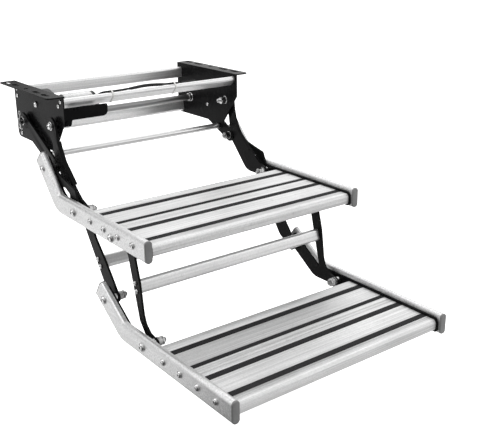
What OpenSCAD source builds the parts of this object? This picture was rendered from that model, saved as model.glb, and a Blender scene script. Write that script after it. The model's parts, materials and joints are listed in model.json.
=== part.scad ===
// Caravan pull out step: a double fold-out step, driven by a motor. Millimetres.
// X runs across the step, -Y points away from the vehicle and +Z points up.
// Z = 0 is the top face of the two mounting flanges. Drawn folded out.
// Outlines in the side view are [y, z] pairs. Left-hand pieces are drawn, right-hand ones are their mirror.

/* [Overall] */
// Width over the outer faces of the step rails
overall_w = 550; // [545:1:560]
// Angle the levers swing through when the step folds away
fold_angle = 108; // [107:0.5:109]

/* [Pivots] */
// Lever pivot on the side plate, Y
lever_y = -98; // [-100:1:-96]
// Lever pivot on the side plate, Z
lever_z = -71; // [-72:1:-70]
// Upper step pivot, ahead of the lever pivot
upper_ahead = 144; // [142:1:146]
// Upper step pivot, below the lever pivot
upper_drop = 158.5; // [157:0.5:160]
// Rear pivot of the upper step, behind its front pivot
rear_back = 142; // [141:1:144]
// Rear pivot of the upper step, above its front pivot
rear_rise = 65.5; // [64.5:0.5:66.5]
// Lower step pivot, ahead of the upper one
lower_ahead = 115; // [113:1:117]
// Lower step pivot, below the upper one
lower_drop = 162; // [160:1:164]
// Front pivot of the lower step, ahead of its rear pivot
front_ahead = 153; // [151:1:155]
// Front pivot of the lower step, below its rear pivot
front_drop = 45; // [44:0.5:46]
// Drive shaft height
shaft_z = -86.5; // [-87.5:0.5:-85.5]
// Link pivot, below the axis of the upper rail
link_drop = 8.5; // [8:0.5:9]

/* [Rails] */
// Rail height
rail_h = 45; // [43:1:46]
// Rail width
rail_w = 16; // [15:1:18]
// Rail corner radius
rail_r = 7.4; // [5:0.1:7.4]
// Rail wall thickness
rail_wall = 2.2; // [2:0.1:2.4]
// Bend radius on the rail axis
bend_r = 30; // [28:1:32]
// Angle of the upper rail's leg
upper_leg_angle = 47; // [46:0.5:48]
// Angle of the lower rail's leg
lower_leg_angle = 33.5; // [33:0.5:34]
// Leg length past its pivot
leg_past = 29; // [27:1:31]
// Upper rail front end, ahead of its pivot
upper_reach = 296; // [295:1:300]
// Lower rail front end, ahead of its pivot
lower_reach = 296; // [295:1:300]
// Front cap thickness
cap_t = 4; // [3:0.5:6]
// Leg cap thickness
leg_cap_t = 3; // [2:0.5:4]

/* [Treads] */
// Tread top, above the rail axis
tread_top = 8.5; // [8:0.5:9.5]
// Underside of the tread skin, above the rail axis
tread_under = 4.8; // [4.6:0.1:5.2]
// Tread back edge, ahead of the pivot
tread_back = 33; // [31:1:35]
// Tread nose, ahead of the pivot
tread_nose = 290; // [288:1:291]
// Underside of the nose, below the rail axis
nose_drop = 15.8; // [14:0.2:17]
// Width of the first and third grip strip
strip_w = 16; // [14:0.5:17.5]
// Width of the second grip strip
strip_thin = 12.5; // [10:0.5:14]
// Width of the grip strip at the nose
strip_nose = 15; // [13:0.5:16.5]
// Grip strip groove depth
strip_groove = 1.7; // [1.4:0.1:2]
// Height of a grip strip above the tread
strip_proud = 0.9; // [0.5:0.1:1.2]
// First tread screw, ahead of the pivot
screw_first = 77.9; // [77:0.1:79]
// Spacing of the tread screws
screw_step = 57.7; // [57:0.1:58]

/* [Plates] */
// Side plate and flange thickness
plate_t = 3; // [2.5:0.5:4]
// Flange width over the plate
flange_w = 36; // [34:1:38]
// Mounting slot length
slot_l = 32; // [28:1:36]
// Mounting slot width
slot_w = 11; // [9:0.5:12]
// Mounting slot centres, outer pair
slot_far = 104; // [100:1:106]
// Mounting slot centres, inner pair
slot_near = 58; // [54:1:62]
// Mounting slot centres, distance from the middle of the step
slot_x = 256; // [255:0.5:257]
// Thickness of levers, links and drive arms
arm_t = 5; // [4:0.5:5]
// Thickness of the plates inside the rails
step_plate_t = 4; // [3:0.5:4]
// Spacer between a rail's plate and an arm
arm_space = 9; // [8:0.5:10]
// Spacer between a lever and a side plate
plate_space = 6.2; // [6:0.1:7]
// Depth of the lip bent in along a lever's front edge
lever_lip = 5; // [3:0.5:5]

/* [Tubes and shafts] */
// Flat-oval tube, long side
tube_l = 29; // [27:1:30]
// Flat-oval tube, short side
tube_w = 12.5; // [11:0.5:13]
// Spacing of the two screws in a tube end
tube_pitch = 17; // [16:0.5:17]
// Drive shaft diameter
shaft_d = 16; // [14:1:18]
// Tie rod diameter
tie_d = 15; // [13:1:16]
// Pivot bolt diameter
pivot_d = 10; // [8:1:10]

/* [Drive] */
// Gear module
gear_m = 2.4; // [2.3:0.05:2.4]
// Gear width
gear_w = 10; // [8:1:11]
// Motor can diameter
motor_d = 56; // [50:1:58]
// Motor lead diameter
lead_d = 5; // [4:0.5:5]

/* [Hidden] */
$fn = 48;
// Radial play of a turning bore and of a plain bolt hole
run_play = 0.05;
hole_play = 0.2;

function turn(v, a) = [v[0] * cos(a) - v[1] * sin(a), v[0] * sin(a) + v[1] * cos(a)];
function unit(v) = v / norm(v);

// Distances from the middle of the step, outside to inside
rail_out = overall_w / 2;
rail_mid = rail_out - rail_w / 2;
rail_in = rail_out - rail_w;
step_in = rail_in - step_plate_t;
arm_out = step_in - arm_space;
arm_in = arm_out - arm_t;
plate_out = arm_in - plate_space;
plate_in = plate_out - plate_t;
flange_out = plate_out + flange_w;

// Pivot points
lever_pivot = [lever_y, lever_z];
upper_pivot = lever_pivot - [upper_ahead, upper_drop];
rear_pivot = upper_pivot + [rear_back, rear_rise];
lower_pivot = upper_pivot - [lower_ahead, lower_drop];
front_pivot = lower_pivot - [front_ahead, front_drop];

// How far each step travels, and the two pivots that make the folded linkage close
upper_travel = turn(upper_pivot - lever_pivot, fold_angle) - (upper_pivot - lever_pivot);
lower_travel = turn(lower_pivot - lever_pivot, fold_angle) - (lower_pivot - lever_pivot);
half_way = rear_pivot + upper_travel / 2;
shaft_y = half_way[0] - (shaft_z - half_way[1]) * upper_travel[1] / upper_travel[0];
shaft_axis = [shaft_y, shaft_z];
between = lower_travel - upper_travel;
link_z = upper_pivot[1] - link_drop;
link_rise = front_pivot[1] - link_z;
link_run = (-between * between / 2 - link_rise * between[1]) / between[0];
link_pivot = [front_pivot[0] - link_run, link_z];

// Bends of the rails and lengths of their legs, measured from the bend
upper_bend = [rear_pivot[0] - rear_rise / tan(upper_leg_angle), upper_pivot[1]];
lower_bend = [lower_pivot[0] - front_drop / tan(lower_leg_angle), front_pivot[1]];
upper_leg = rear_rise / sin(upper_leg_angle) + leg_past;
lower_leg = front_drop / sin(lower_leg_angle) + leg_past;

// Gear train, all three axes on one line
teeth_drive = 26;
teeth_idler = 41;
teeth_pinion = 12;
train_angle = 159.5;
train_dir = [cos(train_angle), sin(train_angle)];
idler_at = gear_m * (teeth_drive + teeth_idler) / 2;
idler_axis = shaft_axis + idler_at * train_dir;
motor_axis = idler_axis + gear_m * (teeth_idler + teeth_pinion) / 2 * train_dir;
case_x0 = -plate_in + 0.1;
case_x1 = case_x0 + 20;
cover_x1 = case_x1 + 3;
gear_x0 = case_x0 + 6;
can_x1 = cover_x1 + 73;
cap_x1 = can_x1 + 12;

// Tubes: centre and tilt of the long side
front_top = [-127.3, -18.5];
front_top_tilt = -42.8;
rear_top = [109.4, -25.4];
rear_lower = [104.1, -116.4];
rear_lower_tilt = 76.8;
lever_tube = [-290.5, -336];
lever_tube_tilt = 50.9;
link_tube = [-446.5, -339];
link_tube_tilt = 73.7;
tie_at = shaft_axis + 0.72 * (rear_pivot - shaft_axis) - [0, 5];
case_bolt = [1, -39];
// Screw that fills the spare hole of the right side plate
plate_screw = [-17.5, -95];

steel_black = [0.09, 0.09, 0.1];
aluminium = [0.8, 0.81, 0.82];
zinc = [0.72, 0.73, 0.74];
rubber = [0.12, 0.12, 0.13];
grey_plastic = [0.45, 0.46, 0.47];
black_plastic = [0.06, 0.06, 0.06];

// Corner k of a closed path of [y, z, radius]
function corner(p, k) =
  let (n = len(p),
       c = [p[k][0], p[k][1]],
       before = [p[(k + n - 1) % n][0], p[(k + n - 1) % n][1]],
       after = [p[(k + 1) % n][0], p[(k + 1) % n][1]],
       r = p[k][2])
  r == 0 ? [c] :
  let (u = unit(before - c),
       v = unit(after - c),
       h = acos(max(-1, min(1, u * v))) / 2,
       m = c + unit(u + v) * r / sin(h),
       s = c + u * r / tan(h) - m,
       e = c + v * r / tan(h) - m,
       a0 = atan2(s[1], s[0]),
       d = atan2(e[1], e[0]) - a0,
       sweep = d > 180 ? d - 360 : d < -180 ? d + 360 : d,
       steps = max(2, ceil(abs(sweep) / 12)))
  [for (i = [0:steps]) m + r * [cos(a0 + sweep * i / steps), sin(a0 + sweep * i / steps)]];

function outline(p) = [for (k = [0:len(p) - 1]) each corner(p, k)];

// Point s along the line from a towards b, and n ahead of it; r is the corner radius there
function beside(a, b, s, n, r = 0) =
  let (d = unit(b - a), q = a + s * d + n * [d[1], -d[0]]) [q[0], q[1], r];

// Point s up a rail's leg and n below its axis
function leg_point(bend, angle, s, n, r = 0) =
  let (q = bend + s * [cos(angle), sin(angle)] + n * [sin(angle), -cos(angle)]) [q[0], q[1], r];

// Side-view outline pulled out from x0 to x1
module side(x0, x1) {
  translate([x0, 0, 0]) rotate([90, 0, 90]) linear_extrude(x1 - x0) children();
}

module rod_x(p, d, x0, x1) {
  translate([x0, p[0], p[1]]) rotate([0, 90, 0]) cylinder(d = d, h = x1 - x0);
}

module hex_x(p, across, x0, x1) {
  translate([x0, p[0], p[1]]) rotate([0, 90, 0]) cylinder(d = across / cos(30), h = x1 - x0, $fn = 6);
}

module both() {
  children();
  mirror([1, 0, 0]) children();
}

// Button-head bolt from the left: the head sits on x = seat, the shank ends at x = tip
module dome_bolt(p, d, head_d, head_h, seat, tip) {
  rim = 0.3 * head_h;
  dome = [for (a = [0:15:90]) [head_d / 2 * cos(a), rim + (head_h - rim) * sin(a)]];
  translate([seat, p[0], p[1]]) rotate([0, -90, 0])
    rotate_extrude() polygon(concat([[0, 0], [head_d / 2, 0]], dome));
  rod_x(p, d, seat, tip);
}

// Washer, nut and lock nut on the inner side of an arm, and the bolt's end past them
module nut_stack(p, x, reach = 20.5) {
  rod_x(p, 20, x, x + 2);
  hex_x(p, 16, x + 2, x + 10);
  rod_x(p, 14, x + 10, x + 10.6);
  hex_x(p, 16, x + 10.6, x + 15);
  rod_x(p, pivot_d, x, x + reach);
}

// Bolt from the rail's outer face, with a spacer that ends short of the arm
module rail_bolt(p, head_d, head_h, tip) {
  dome_bolt(p, pivot_d, head_d, head_h, -rail_out, tip);
  rod_x(p, 18, -step_in, -arm_out - 0.4);
}

// Pivot bolt through a rail and an arm, with its nuts on the inside
module pivot_bolt(p) {
  rail_bolt(p, 18, 6, -arm_in + 1);
  nut_stack(p, -arm_in + 0.3);
}

module oval(l, w) {
  r = w / 2 - 0.05;
  polygon(outline([[-l / 2, -w / 2, r], [l / 2, -w / 2, r], [l / 2, w / 2, r], [-l / 2, w / 2, r]]));
}

module cross_tube(c, tilt, half) {
  side(-half, half) translate(c) rotate(tilt) difference() {
    oval(tube_l, tube_w);
    square([8, tube_w - 3.6], center = true);
    for (s = [-1, 1]) translate([s * tube_pitch / 2, 0]) circle(d = 4.4);
  }
}

function tube_screw_points(c, tilt) = [for (s = [-1, 1]) c + s * tube_pitch / 2 * [cos(tilt), sin(tilt)]];

module tube_screws(c, tilt, seat, head_d, head_h) {
  for (p = tube_screw_points(c, tilt)) dome_bolt(p, 4.2, head_d, head_h, -seat, -seat + 20);
}

module tube_screw_holes(c, tilt) {
  for (p = tube_screw_points(c, tilt)) rod_x(p, 4.8, -rail_out, -plate_in + 10);
}

module side_plate() {
  color(steel_black) difference() {
    union() {
      side(-plate_out, -plate_in)
        polygon(outline([[125, 0, 0], [125, -135, 14], [-84, -135, 14], [-146, -56, 10], [-146, 0, 0]]));
      translate([0, 0, -plate_t]) linear_extrude(plate_t)
        polygon(outline([[-plate_in, -146, 0], [-flange_out, -146, 12], [-flange_out, 125, 8],
          [-plate_in, 125, 0]]));
    }
    for (y = [-slot_far, -slot_near, slot_near, slot_far]) translate([-slot_x, y, -plate_t - 1]) mount_slot();
    translate([-slot_x, 0, -plate_t - 1]) cylinder(d = slot_w, h = plate_t + 2);
    rod_x(lever_pivot, pivot_d + 2 * hole_play, -plate_out - 1, -plate_in + 1);
    rod_x(shaft_axis, shaft_d + 6.2, -plate_out - 1, -plate_in + 1);
    tube_screw_holes(front_top, front_top_tilt);
    tube_screw_holes(rear_top, 90);
    tube_screw_holes(rear_lower, rear_lower_tilt);
    children();
  }
}

module mount_slot() {
  straight = slot_l - slot_w;
  translate([-slot_w / 2, -straight / 2, 0]) cube([slot_w, straight, plate_t + 2]);
  for (s = [-1, 1]) translate([0, s * straight / 2, 0]) cylinder(d = slot_w, h = plate_t + 2);
}

module left_side_plate() {
  side_plate() rod_x(case_bolt, 8.4, -plate_out - 1, -plate_in + 1);
}

module right_side_plate() {
  mirror([1, 0, 0]) side_plate() rod_x(plate_screw, 5.4, -plate_out - 1, -plate_in + 1);
}

module front_top_tube() {
  color(aluminium) cross_tube(front_top, front_top_tilt, plate_in);
}

module rear_top_tube() {
  color(aluminium) cross_tube(rear_top, 90, plate_in);
}

module rear_lower_tube() {
  color(aluminium) cross_tube(rear_lower, rear_lower_tilt, plate_in);
}

module frame_tube_screws() {
  color(zinc) both() {
    tube_screws(front_top, front_top_tilt, plate_out, 10, 2.4);
    tube_screws(rear_top, 90, plate_out, 10, 2.4);
    tube_screws(rear_lower, rear_lower_tilt, plate_out, 10, 2.4);
  }
  color(zinc) dome_bolt(plate_screw, 5, 9, 2.4, plate_in, plate_out);
}

module lever_pivot_bolts() {
  color(zinc) both() {
    seat = arm_out + 0.3;
    rod_x(lever_pivot, 20, -seat - 2, -seat);
    dome_bolt(lever_pivot, pivot_d, 16, 6, -seat - 2, -plate_in + 1);
    rod_x(lever_pivot, 17, -arm_in + 0.3, -plate_out);
    nut_stack(lever_pivot, -plate_in, 25);
  }
}

module shaft_bushes() {
  color(black_plastic) both() difference() {
    union() {
      rod_x(shaft_axis, shaft_d + 6, -plate_out, -plate_in);
      rod_x(shaft_axis, shaft_d + 14, -plate_out - 2.6, -plate_out);
    }
    rod_x(shaft_axis, shaft_d + 2 * run_play, -plate_out - 4, -plate_in + 1);
  }
}

// Gearbox outline, grown by g over the gears
module case_outline(g) {
  hull() {
    translate(motor_axis) circle(r = 17 + g);
    translate(idler_axis) circle(r = gear_m * teeth_idler / 2 + 3 + g);
    translate(shaft_axis) circle(r = gear_m * teeth_drive / 2 + 3 + g);
  }
}

cover_screw_points = [
  motor_axis + 23 * [cos(100), sin(100)],
  motor_axis + 23 * [cos(230), sin(230)],
  shaft_axis + 39.5 * [cos(60), sin(60)],
  shaft_axis + 39.5 * [cos(290), sin(290)]
];

module gearbox_case() {
  color(black_plastic) difference() {
    union() {
      difference() {
        side(case_x0, case_x1) case_outline(2.6);
        side(case_x0 + 2.4, case_x1 + 1) case_outline(0);
      }
      for (p = cover_screw_points) rod_x(p, 9, case_x0, case_x1);
    }
    for (p = cover_screw_points) rod_x(p, 3.4, case_x1 - 12, case_x1 + 1);
    rod_x(shaft_axis, shaft_d + 1, case_x0 - 1, case_x1);
    rod_x(idler_axis, 8.1, case_x0 - 1, case_x1);
    rod_x(case_bolt, 8.1, case_x0 - 1, case_x1);
  }
}

module gearbox_cover() {
  color(black_plastic) difference() {
    union() {
      side(case_x1, cover_x1) case_outline(2.6);
      for (p = cover_screw_points) rod_x(p, 9, case_x1, cover_x1);
    }
    for (p = cover_screw_points) rod_x(p, 3.8, case_x1 - 1, cover_x1 + 1);
    rod_x(shaft_axis, shaft_d + 1, case_x1 - 1, cover_x1 + 1);
    rod_x(idler_axis, 8.1, case_x1 - 1, cover_x1 + 1);
    rod_x(motor_axis, 10, case_x1 - 1, cover_x1 + 1);
  }
}

module gearbox_bolts() {
  color(zinc) {
    dome_bolt(case_bolt, 8, 15, 5, -plate_out, case_x0 + 2.2);
    for (p = cover_screw_points) mirror([1, 0, 0]) dome_bolt(p, 3.3, 6.5, 2.4, -cover_x1, -cover_x1 + 13);
  }
}

module idler_axle() {
  color(zinc) {
    rod_x(idler_axis, 8, case_x0 + 0.2, cover_x1 - 0.2);
    rod_x(idler_axis, 13, case_x0 + 2.4, gear_x0 - 0.3);
    rod_x(idler_axis, 13, gear_x0 + gear_w + 0.3, case_x1);
  }
}

// Straight-sided gear teeth with free play, a tooth standing at the phase angle
function gear_outline(teeth, phase) =
  let (rp = gear_m * teeth / 2,
       rr = rp - 1.15 * gear_m,
       rt = rp + 0.85 * gear_m,
       half = 0.2 * PI * gear_m,
       wr = (half + 1.15 * gear_m * tan(22)) / rr * 180 / PI,
       wt = (half - 0.85 * gear_m * tan(22)) / rt * 180 / PI)
  [for (i = [0:teeth - 1]) let (c = phase + 360 * i / teeth)
    each [for (q = [[rr, -wr], [rt, -wt], [rt, wt], [rr, wr]]) q[0] * [cos(c + q[1]), sin(c + q[1])]]];

module gear(axis, teeth, phase) {
  side(gear_x0, gear_x0 + gear_w) translate(axis) polygon(gear_outline(teeth, phase));
}

module drive_gear() {
  color(zinc) difference() {
    union() {
      gear(shaft_axis, teeth_drive, train_angle);
      rod_x(shaft_axis, 30, gear_x0 - 3, gear_x0 + gear_w + 3);
    }
    rod_x(shaft_axis, shaft_d + 2 * hole_play, gear_x0 - 4, gear_x0 + gear_w + 4);
  }
}

module idler_gear() {
  color(zinc) difference() {
    gear(idler_axis, teeth_idler, train_angle + 180 + 180 / teeth_idler);
    rod_x(idler_axis, 8 + 2 * run_play, gear_x0 - 1, gear_x0 + gear_w + 1);
    for (a = [0:60:300])
      rod_x(idler_axis + 26 * [cos(a), sin(a)], 14, gear_x0 - 1, gear_x0 + gear_w + 1);
  }
}

module motor_pinion() {
  color(zinc) {
    gear(motor_axis, teeth_pinion, train_angle + 180 + 180 / teeth_pinion);
    rod_x(motor_axis, 8, gear_x0 - 2, cover_x1 + 12);
  }
}

module motor_can() {
  color(zinc) difference() {
    union() {
      rod_x(motor_axis, motor_d, cover_x1 + 4, can_x1);
      rod_x(motor_axis, 34, cover_x1, cover_x1 + 4);
    }
    rod_x(motor_axis, 8 + 2 * run_play, cover_x1 - 1, cover_x1 + 14);
  }
}

// The lead leaves the rim of the end cap, in this direction in the side view
lead_turn = 145;
lead_x = can_x1 + 4.7;
lead_out = [cos(lead_turn), sin(lead_turn)];
lead_start = [lead_x, motor_axis[0] + 22 * lead_out[0], motor_axis[1] + 22 * lead_out[1]];

module motor_end_cap() {
  color(black_plastic) difference() {
    union() {
      rod_x(motor_axis, motor_d - 1, can_x1, cap_x1 - 3);
      rod_x(motor_axis, motor_d - 8, cap_x1 - 3, cap_x1);
    }
    translate([lead_x, motor_axis[0], motor_axis[1]]) rotate([lead_turn - 90, 0, 0]) translate([0, 0, 21])
      cylinder(d = lead_d + 2, h = 10);
  }
}

cover_left = case_x0;
cover_front = -133;
// Bolt in the cover's lower left corner
cover_bolt_x = -224;
cover_bolt_z = -62;

module motor_cover() {
  color(steel_black) difference() {
    union() {
      translate([0, cover_front, 0]) rotate([90, 0, 0]) linear_extrude(3)
        polygon(outline([[cover_left, -29, 0], [cover_left, -69, 0], [-214, -69, 4], [-211, -56, 3],
          [-123, -56, 12], [-123, -29, 3]]));
      side(cover_left, cover_left + 3)
        polygon([[cover_front - 3, -29], [cover_front, -29], [-116, -40], [-116, -62],
          [cover_front - 3, -69]]);
      translate([0, 0, -56]) linear_extrude(3)
        polygon([[-205, cover_front], [-205, -118], [-140, -118], [-140, cover_front]]);
    }
    for (x = [-203.6, -195.5])
      translate([x, cover_front + 1, -33]) rotate([90, 0, 0]) cylinder(d = 4.4, h = 5);
    translate([cover_bolt_x, cover_front + 1, cover_bolt_z]) rotate([90, 0, 0]) cylinder(d = 6, h = 5);
  }
}

module motor_cover_screws() {
  color(zinc) {
    for (x = [-203.6, -195.5]) translate([x, cover_front - 3, -33]) rotate([90, 0, 0]) {
      cylinder(d = 6.5, h = 2.4);
      translate([0, 0, -8]) cylinder(d = 4, h = 8);
    }
    translate([cover_bolt_x, cover_front - 3, cover_bolt_z]) rotate([90, 0, 0]) {
      cylinder(d = 10 / cos(30), h = 5, $fn = 6);
      translate([0, 0, -8]) cylinder(d = 5.6, h = 14);
    }
  }
}

// Middle of the lead where it lies on the front top tube
lead_on_tube = [-129, -5];
// The plug is stuck to the rear face of the tube
plug_off = 11;
plug_mid = front_top + plug_off * [cos(47.2), sin(47.2)] + 3 * [cos(front_top_tilt), sin(front_top_tilt)];
lead_points = [
  lead_start,
  [lead_x, motor_axis[0] + 34 * lead_out[0], motor_axis[1] + 34 * lead_out[1]],
  [-129, -112, -10.5],
  [-124.5, -121.5, -6.6],
  [-117, -127.2, -5.1],
  [-108, lead_on_tube[0], lead_on_tube[1]],
  [-90, lead_on_tube[0], lead_on_tube[1]],
  [-55, -126.5, -4.5],
  [-10, -119, -4],
  [28, -126.5, -4.6],
  [55, lead_on_tube[0], lead_on_tube[1]],
  [63, lead_on_tube[0], lead_on_tube[1]],
  [74, -125, -7],
  [84, -119.5, -11.5],
  [92, plug_mid[0], plug_mid[1]]
];

// Smooth curve through the lead's points
function curve(p, k, t) =
  let (a = p[max(k - 1, 0)], b = p[k], c = p[k + 1], d = p[min(k + 2, len(p) - 1)])
  0.5 * (2 * b + (c - a) * t + (2 * a - 5 * b + 4 * c - d) * t * t + (3 * b - a - 3 * c + d) * t * t * t);

lead_path = concat(
  [for (k = [0:len(lead_points) - 2]) each [for (t = [0:0.25:0.8]) curve(lead_points, k, t)]],
  [lead_points[len(lead_points) - 1]]);

module motor_lead() {
  sides = 10;
  count = len(lead_path);
  rings = [for (k = [0:count - 1])
    let (d = unit(lead_path[min(k + 1, count - 1)] - lead_path[max(k - 1, 0)]),
         u = unit(cross(d, [0, 0, 1])),
         v = cross(u, d))
    each [for (i = [0:sides - 1])
      lead_path[k] + lead_d / 2 * (cos(360 * i / sides) * u + sin(360 * i / sides) * v)]];
  walls = [for (k = [0:count - 2]) each [for (i = [0:sides - 1])
    [k * sides + i, k * sides + (i + 1) % sides, (k + 1) * sides + (i + 1) % sides, (k + 1) * sides + i]]];
  ends = [[for (i = [0:sides - 1]) sides - 1 - i], [for (i = [0:sides - 1]) (count - 1) * sides + i]];
  color(black_plastic) polyhedron(points = rings, faces = concat(walls, ends));
}

module lead_plug() {
  color(black_plastic) difference() {
    side(88, 126) translate(plug_mid) rotate(front_top_tilt) translate([-7, tube_w / 2 + 0.02 - plug_off])
      square([14, 9]);
    rod_x(plug_mid, lead_d + 2, 87, 93);
  }
}

// Loop of a cable tie round the front top tube and what it holds
module tie_loop(g) {
  end = tube_l / 2 - tube_w / 2;
  hull() {
    for (s = [-1, 1])
      translate(front_top + s * end * [cos(front_top_tilt), sin(front_top_tilt)]) circle(r = tube_w / 2 + g);
    children();
  }
}

module cable_ties() {
  color([0.93, 0.93, 0.92]) {
    for (x = [-108, 59]) side(x - 2, x + 2) difference() {
      tie_loop(1.3) translate(lead_on_tube) circle(d = lead_d + 2.6);
      tie_loop(0.2) translate(lead_on_tube) circle(d = lead_d + 0.4);
    }
  }
}

// Threaded ends of the shaft, and the split pins through them
neck_d = 10;
neck_x = arm_out + 12;
pin_x = arm_out + 7;

module drive_shaft() {
  color(zinc) difference() {
    union() {
      rod_x(shaft_axis, shaft_d, -arm_out + 0.2, arm_out - 0.2);
      rod_x(shaft_axis, neck_d, -neck_x, neck_x);
    }
    both() translate([-pin_x, shaft_axis[0], shaft_axis[1] - neck_d]) cylinder(d = 3, h = 2 * neck_d);
  }
}

module drive_arm() {
  reach = norm(rear_pivot - shaft_axis);
  color(steel_black) difference() {
    union() {
      side(-arm_out, -arm_in) polygon(outline([
        beside(shaft_axis, rear_pivot, -20, 20, 19), beside(shaft_axis, rear_pivot, reach + 16, 16, 15.9),
        beside(shaft_axis, rear_pivot, reach + 16, -16, 15.9),
        beside(shaft_axis, rear_pivot, -20, -20, 19)]));
      rod_x(shaft_axis, 28, -arm_in, -plate_out - 2.9);
    }
    rod_x(shaft_axis, shaft_d + 2 * hole_play, -arm_out - 1, -plate_out);
    rod_x(rear_pivot, pivot_d + 2 * hole_play, -arm_out - 1, -arm_in + 1);
    translate([-arm_out - 0.3, tie_at[0], tie_at[1]]) rotate([0, 90, 0]) cylinder(d1 = 13, d2 = 5, h = 4);
    rod_x(tie_at, 6.4, -arm_out - 1, -arm_in + 1);
  }
}

module left_drive_arm() {
  drive_arm();
}

module right_drive_arm() {
  mirror([1, 0, 0]) drive_arm();
}

module drive_tie_rod() {
  color(zinc) difference() {
    rod_x(tie_at, tie_d, -arm_in, arm_in);
    both() rod_x(tie_at, 6.2, -arm_in - 1, -arm_in + 18);
  }
}

module tie_rod_screws() {
  color(zinc) both() {
    translate([-arm_out, tie_at[0], tie_at[1]]) rotate([0, 90, 0]) cylinder(d1 = 12, d2 = 6, h = 3);
    rod_x(tie_at, 6, -arm_out + 3, -arm_in + 16);
  }
}

module shaft_castle_nuts() {
  color(zinc) difference() {
    union() {
      rod_x(shaft_axis, 24, plate_in - 2.3, plate_in - 0.4);
      rod_x(shaft_axis, 21, plate_in - 9, plate_in - 2.3);
    }
    rod_x(shaft_axis, shaft_d + 2 * hole_play, plate_in - 12, plate_in);
  }
  color(zinc) both() difference() {
    union() {
      rod_x(shaft_axis, 21, -arm_out - 2, -arm_out);
      hex_x(shaft_axis, 17, -arm_out - 10, -arm_out - 2);
    }
    rod_x(shaft_axis, neck_d + 2 * hole_play, -arm_out - 20, -arm_out + 1);
    for (a = [0:60:120]) translate([-pin_x, shaft_axis[0], shaft_axis[1]]) rotate([a, 0, 0])
      translate([-4, -1.7, -20]) cube([5.6, 3.4, 40]);
  }
}

module shaft_split_pins() {
  color(zinc) both() translate([-pin_x, shaft_axis[0], shaft_axis[1]]) {
    translate([0, 0, -20]) cylinder(d = 2.6, h = 36);
    translate([0, 0, 20]) rotate([0, 90, 0]) rotate_extrude() translate([4.5, 0]) circle(d = 2.6);
  }
}

module drive_arm_nuts() {
  color(zinc) both() {
    rod_x(rear_pivot, pivot_d, -arm_out + 0.2, -arm_in + 1);
    nut_stack(rear_pivot, -arm_in);
  }
}

// Lever: frame pivot at the top, upper step pivot in the middle, lower step pivot at the bottom
module lever() {
  a = lever_pivot;
  b = upper_pivot;
  c = lower_pivot;
  ab = norm(b - a);
  bc = norm(c - b);
  color(steel_black) difference() {
    union() {
      side(-arm_out, -arm_in) polygon(outline([
        beside(a, b, -19, 19, 18.9), beside(a, b, 10, 19, 14), beside(a, b, 32, 3, 24),
        beside(a, b, 50, -6, 40),
        beside(a, b, 86, -15, 60), beside(a, b, 116, -11, 60), beside(a, b, 162, -6.5, 30),
        beside(a, b, 186, -2, 16), beside(a, b, 203, 7, 10), beside(a, b, ab, 14, 13),
        beside(b, c, 62, -3, 50), beside(b, c, 110, 4, 80), beside(b, c, 160, 8, 40),
        beside(b, c, bc + 12, 9.5, 9.4), beside(b, c, bc + 12, -15, 12), beside(b, c, bc - 14, -22, 20),
        beside(b, c, 158, -32, 24), beside(b, c, 30, -32, 30), beside(a, b, 184, -26, 24),
        beside(a, b, 148, -26, 24), beside(a, b, 133, -33, 10), beside(a, b, 120, -47, 9),
        beside(a, b, 92, -47, 16), beside(a, b, 75, -42, 20), beside(a, b, 54, -42, 24),
        beside(a, b, 30, -26, 20), beside(a, b, -19, -19, 18.9)]));
      side(-arm_in, -arm_in + lever_lip) polygon([
        beside2(a, b, 40, -1.6), beside2(a, b, 52, -6.8), beside2(a, b, 70, -11.2), beside2(a, b, 86, -14.2),
        beside2(a, b, 98, -13.5), beside2(a, b, 116, -11.2), beside2(a, b, 146, -8.2),
        beside2(a, b, 146, -12.2), beside2(a, b, 116, -15.2), beside2(a, b, 98, -17.5),
        beside2(a, b, 86, -18.2), beside2(a, b, 70, -15.4), beside2(a, b, 52, -11), beside2(a, b, 40, -6)]);
    }
    rod_x(a, pivot_d + 2 * run_play, -arm_out - 1, -arm_in + 1);
    rod_x(b, pivot_d + 2 * run_play, -arm_out - 1, -arm_in + 1);
    rod_x(c, pivot_d + 2 * run_play, -arm_out - 1, -arm_in + 1);
    for (p = tube_screw_points(lever_tube, lever_tube_tilt)) rod_x(p, 4.8, -arm_out - 1, -arm_in + 1);
  }
}

function beside2(a, b, s, n) = let (q = beside(a, b, s, n)) [q[0], q[1]];

module left_lever() {
  lever();
}

module right_lever() {
  mirror([1, 0, 0]) lever();
}

module lever_cross_tube() {
  color(aluminium) cross_tube(lever_tube, lever_tube_tilt, arm_in);
}

module lever_tube_screws() {
  color(zinc) both() tube_screws(lever_tube, lever_tube_tilt, arm_out, 11, 4);
}

// Rail cross-section as [height, width] points
function rail_loop(grow) =
  let (h = rail_h / 2 + grow, w = rail_w / 2 + grow, r = rail_r + grow)
  outline([[-h, -w, r], [h, -w, r], [h, w, r], [-h, w, r]]);

module rail_shape(grow) {
  polygon(rail_loop(grow));
}

// Pulled out from the given end towards -Y
module along(y, l) {
  translate([0, y, 0]) rotate([90, 90, 0]) linear_extrude(l) children();
}

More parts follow.
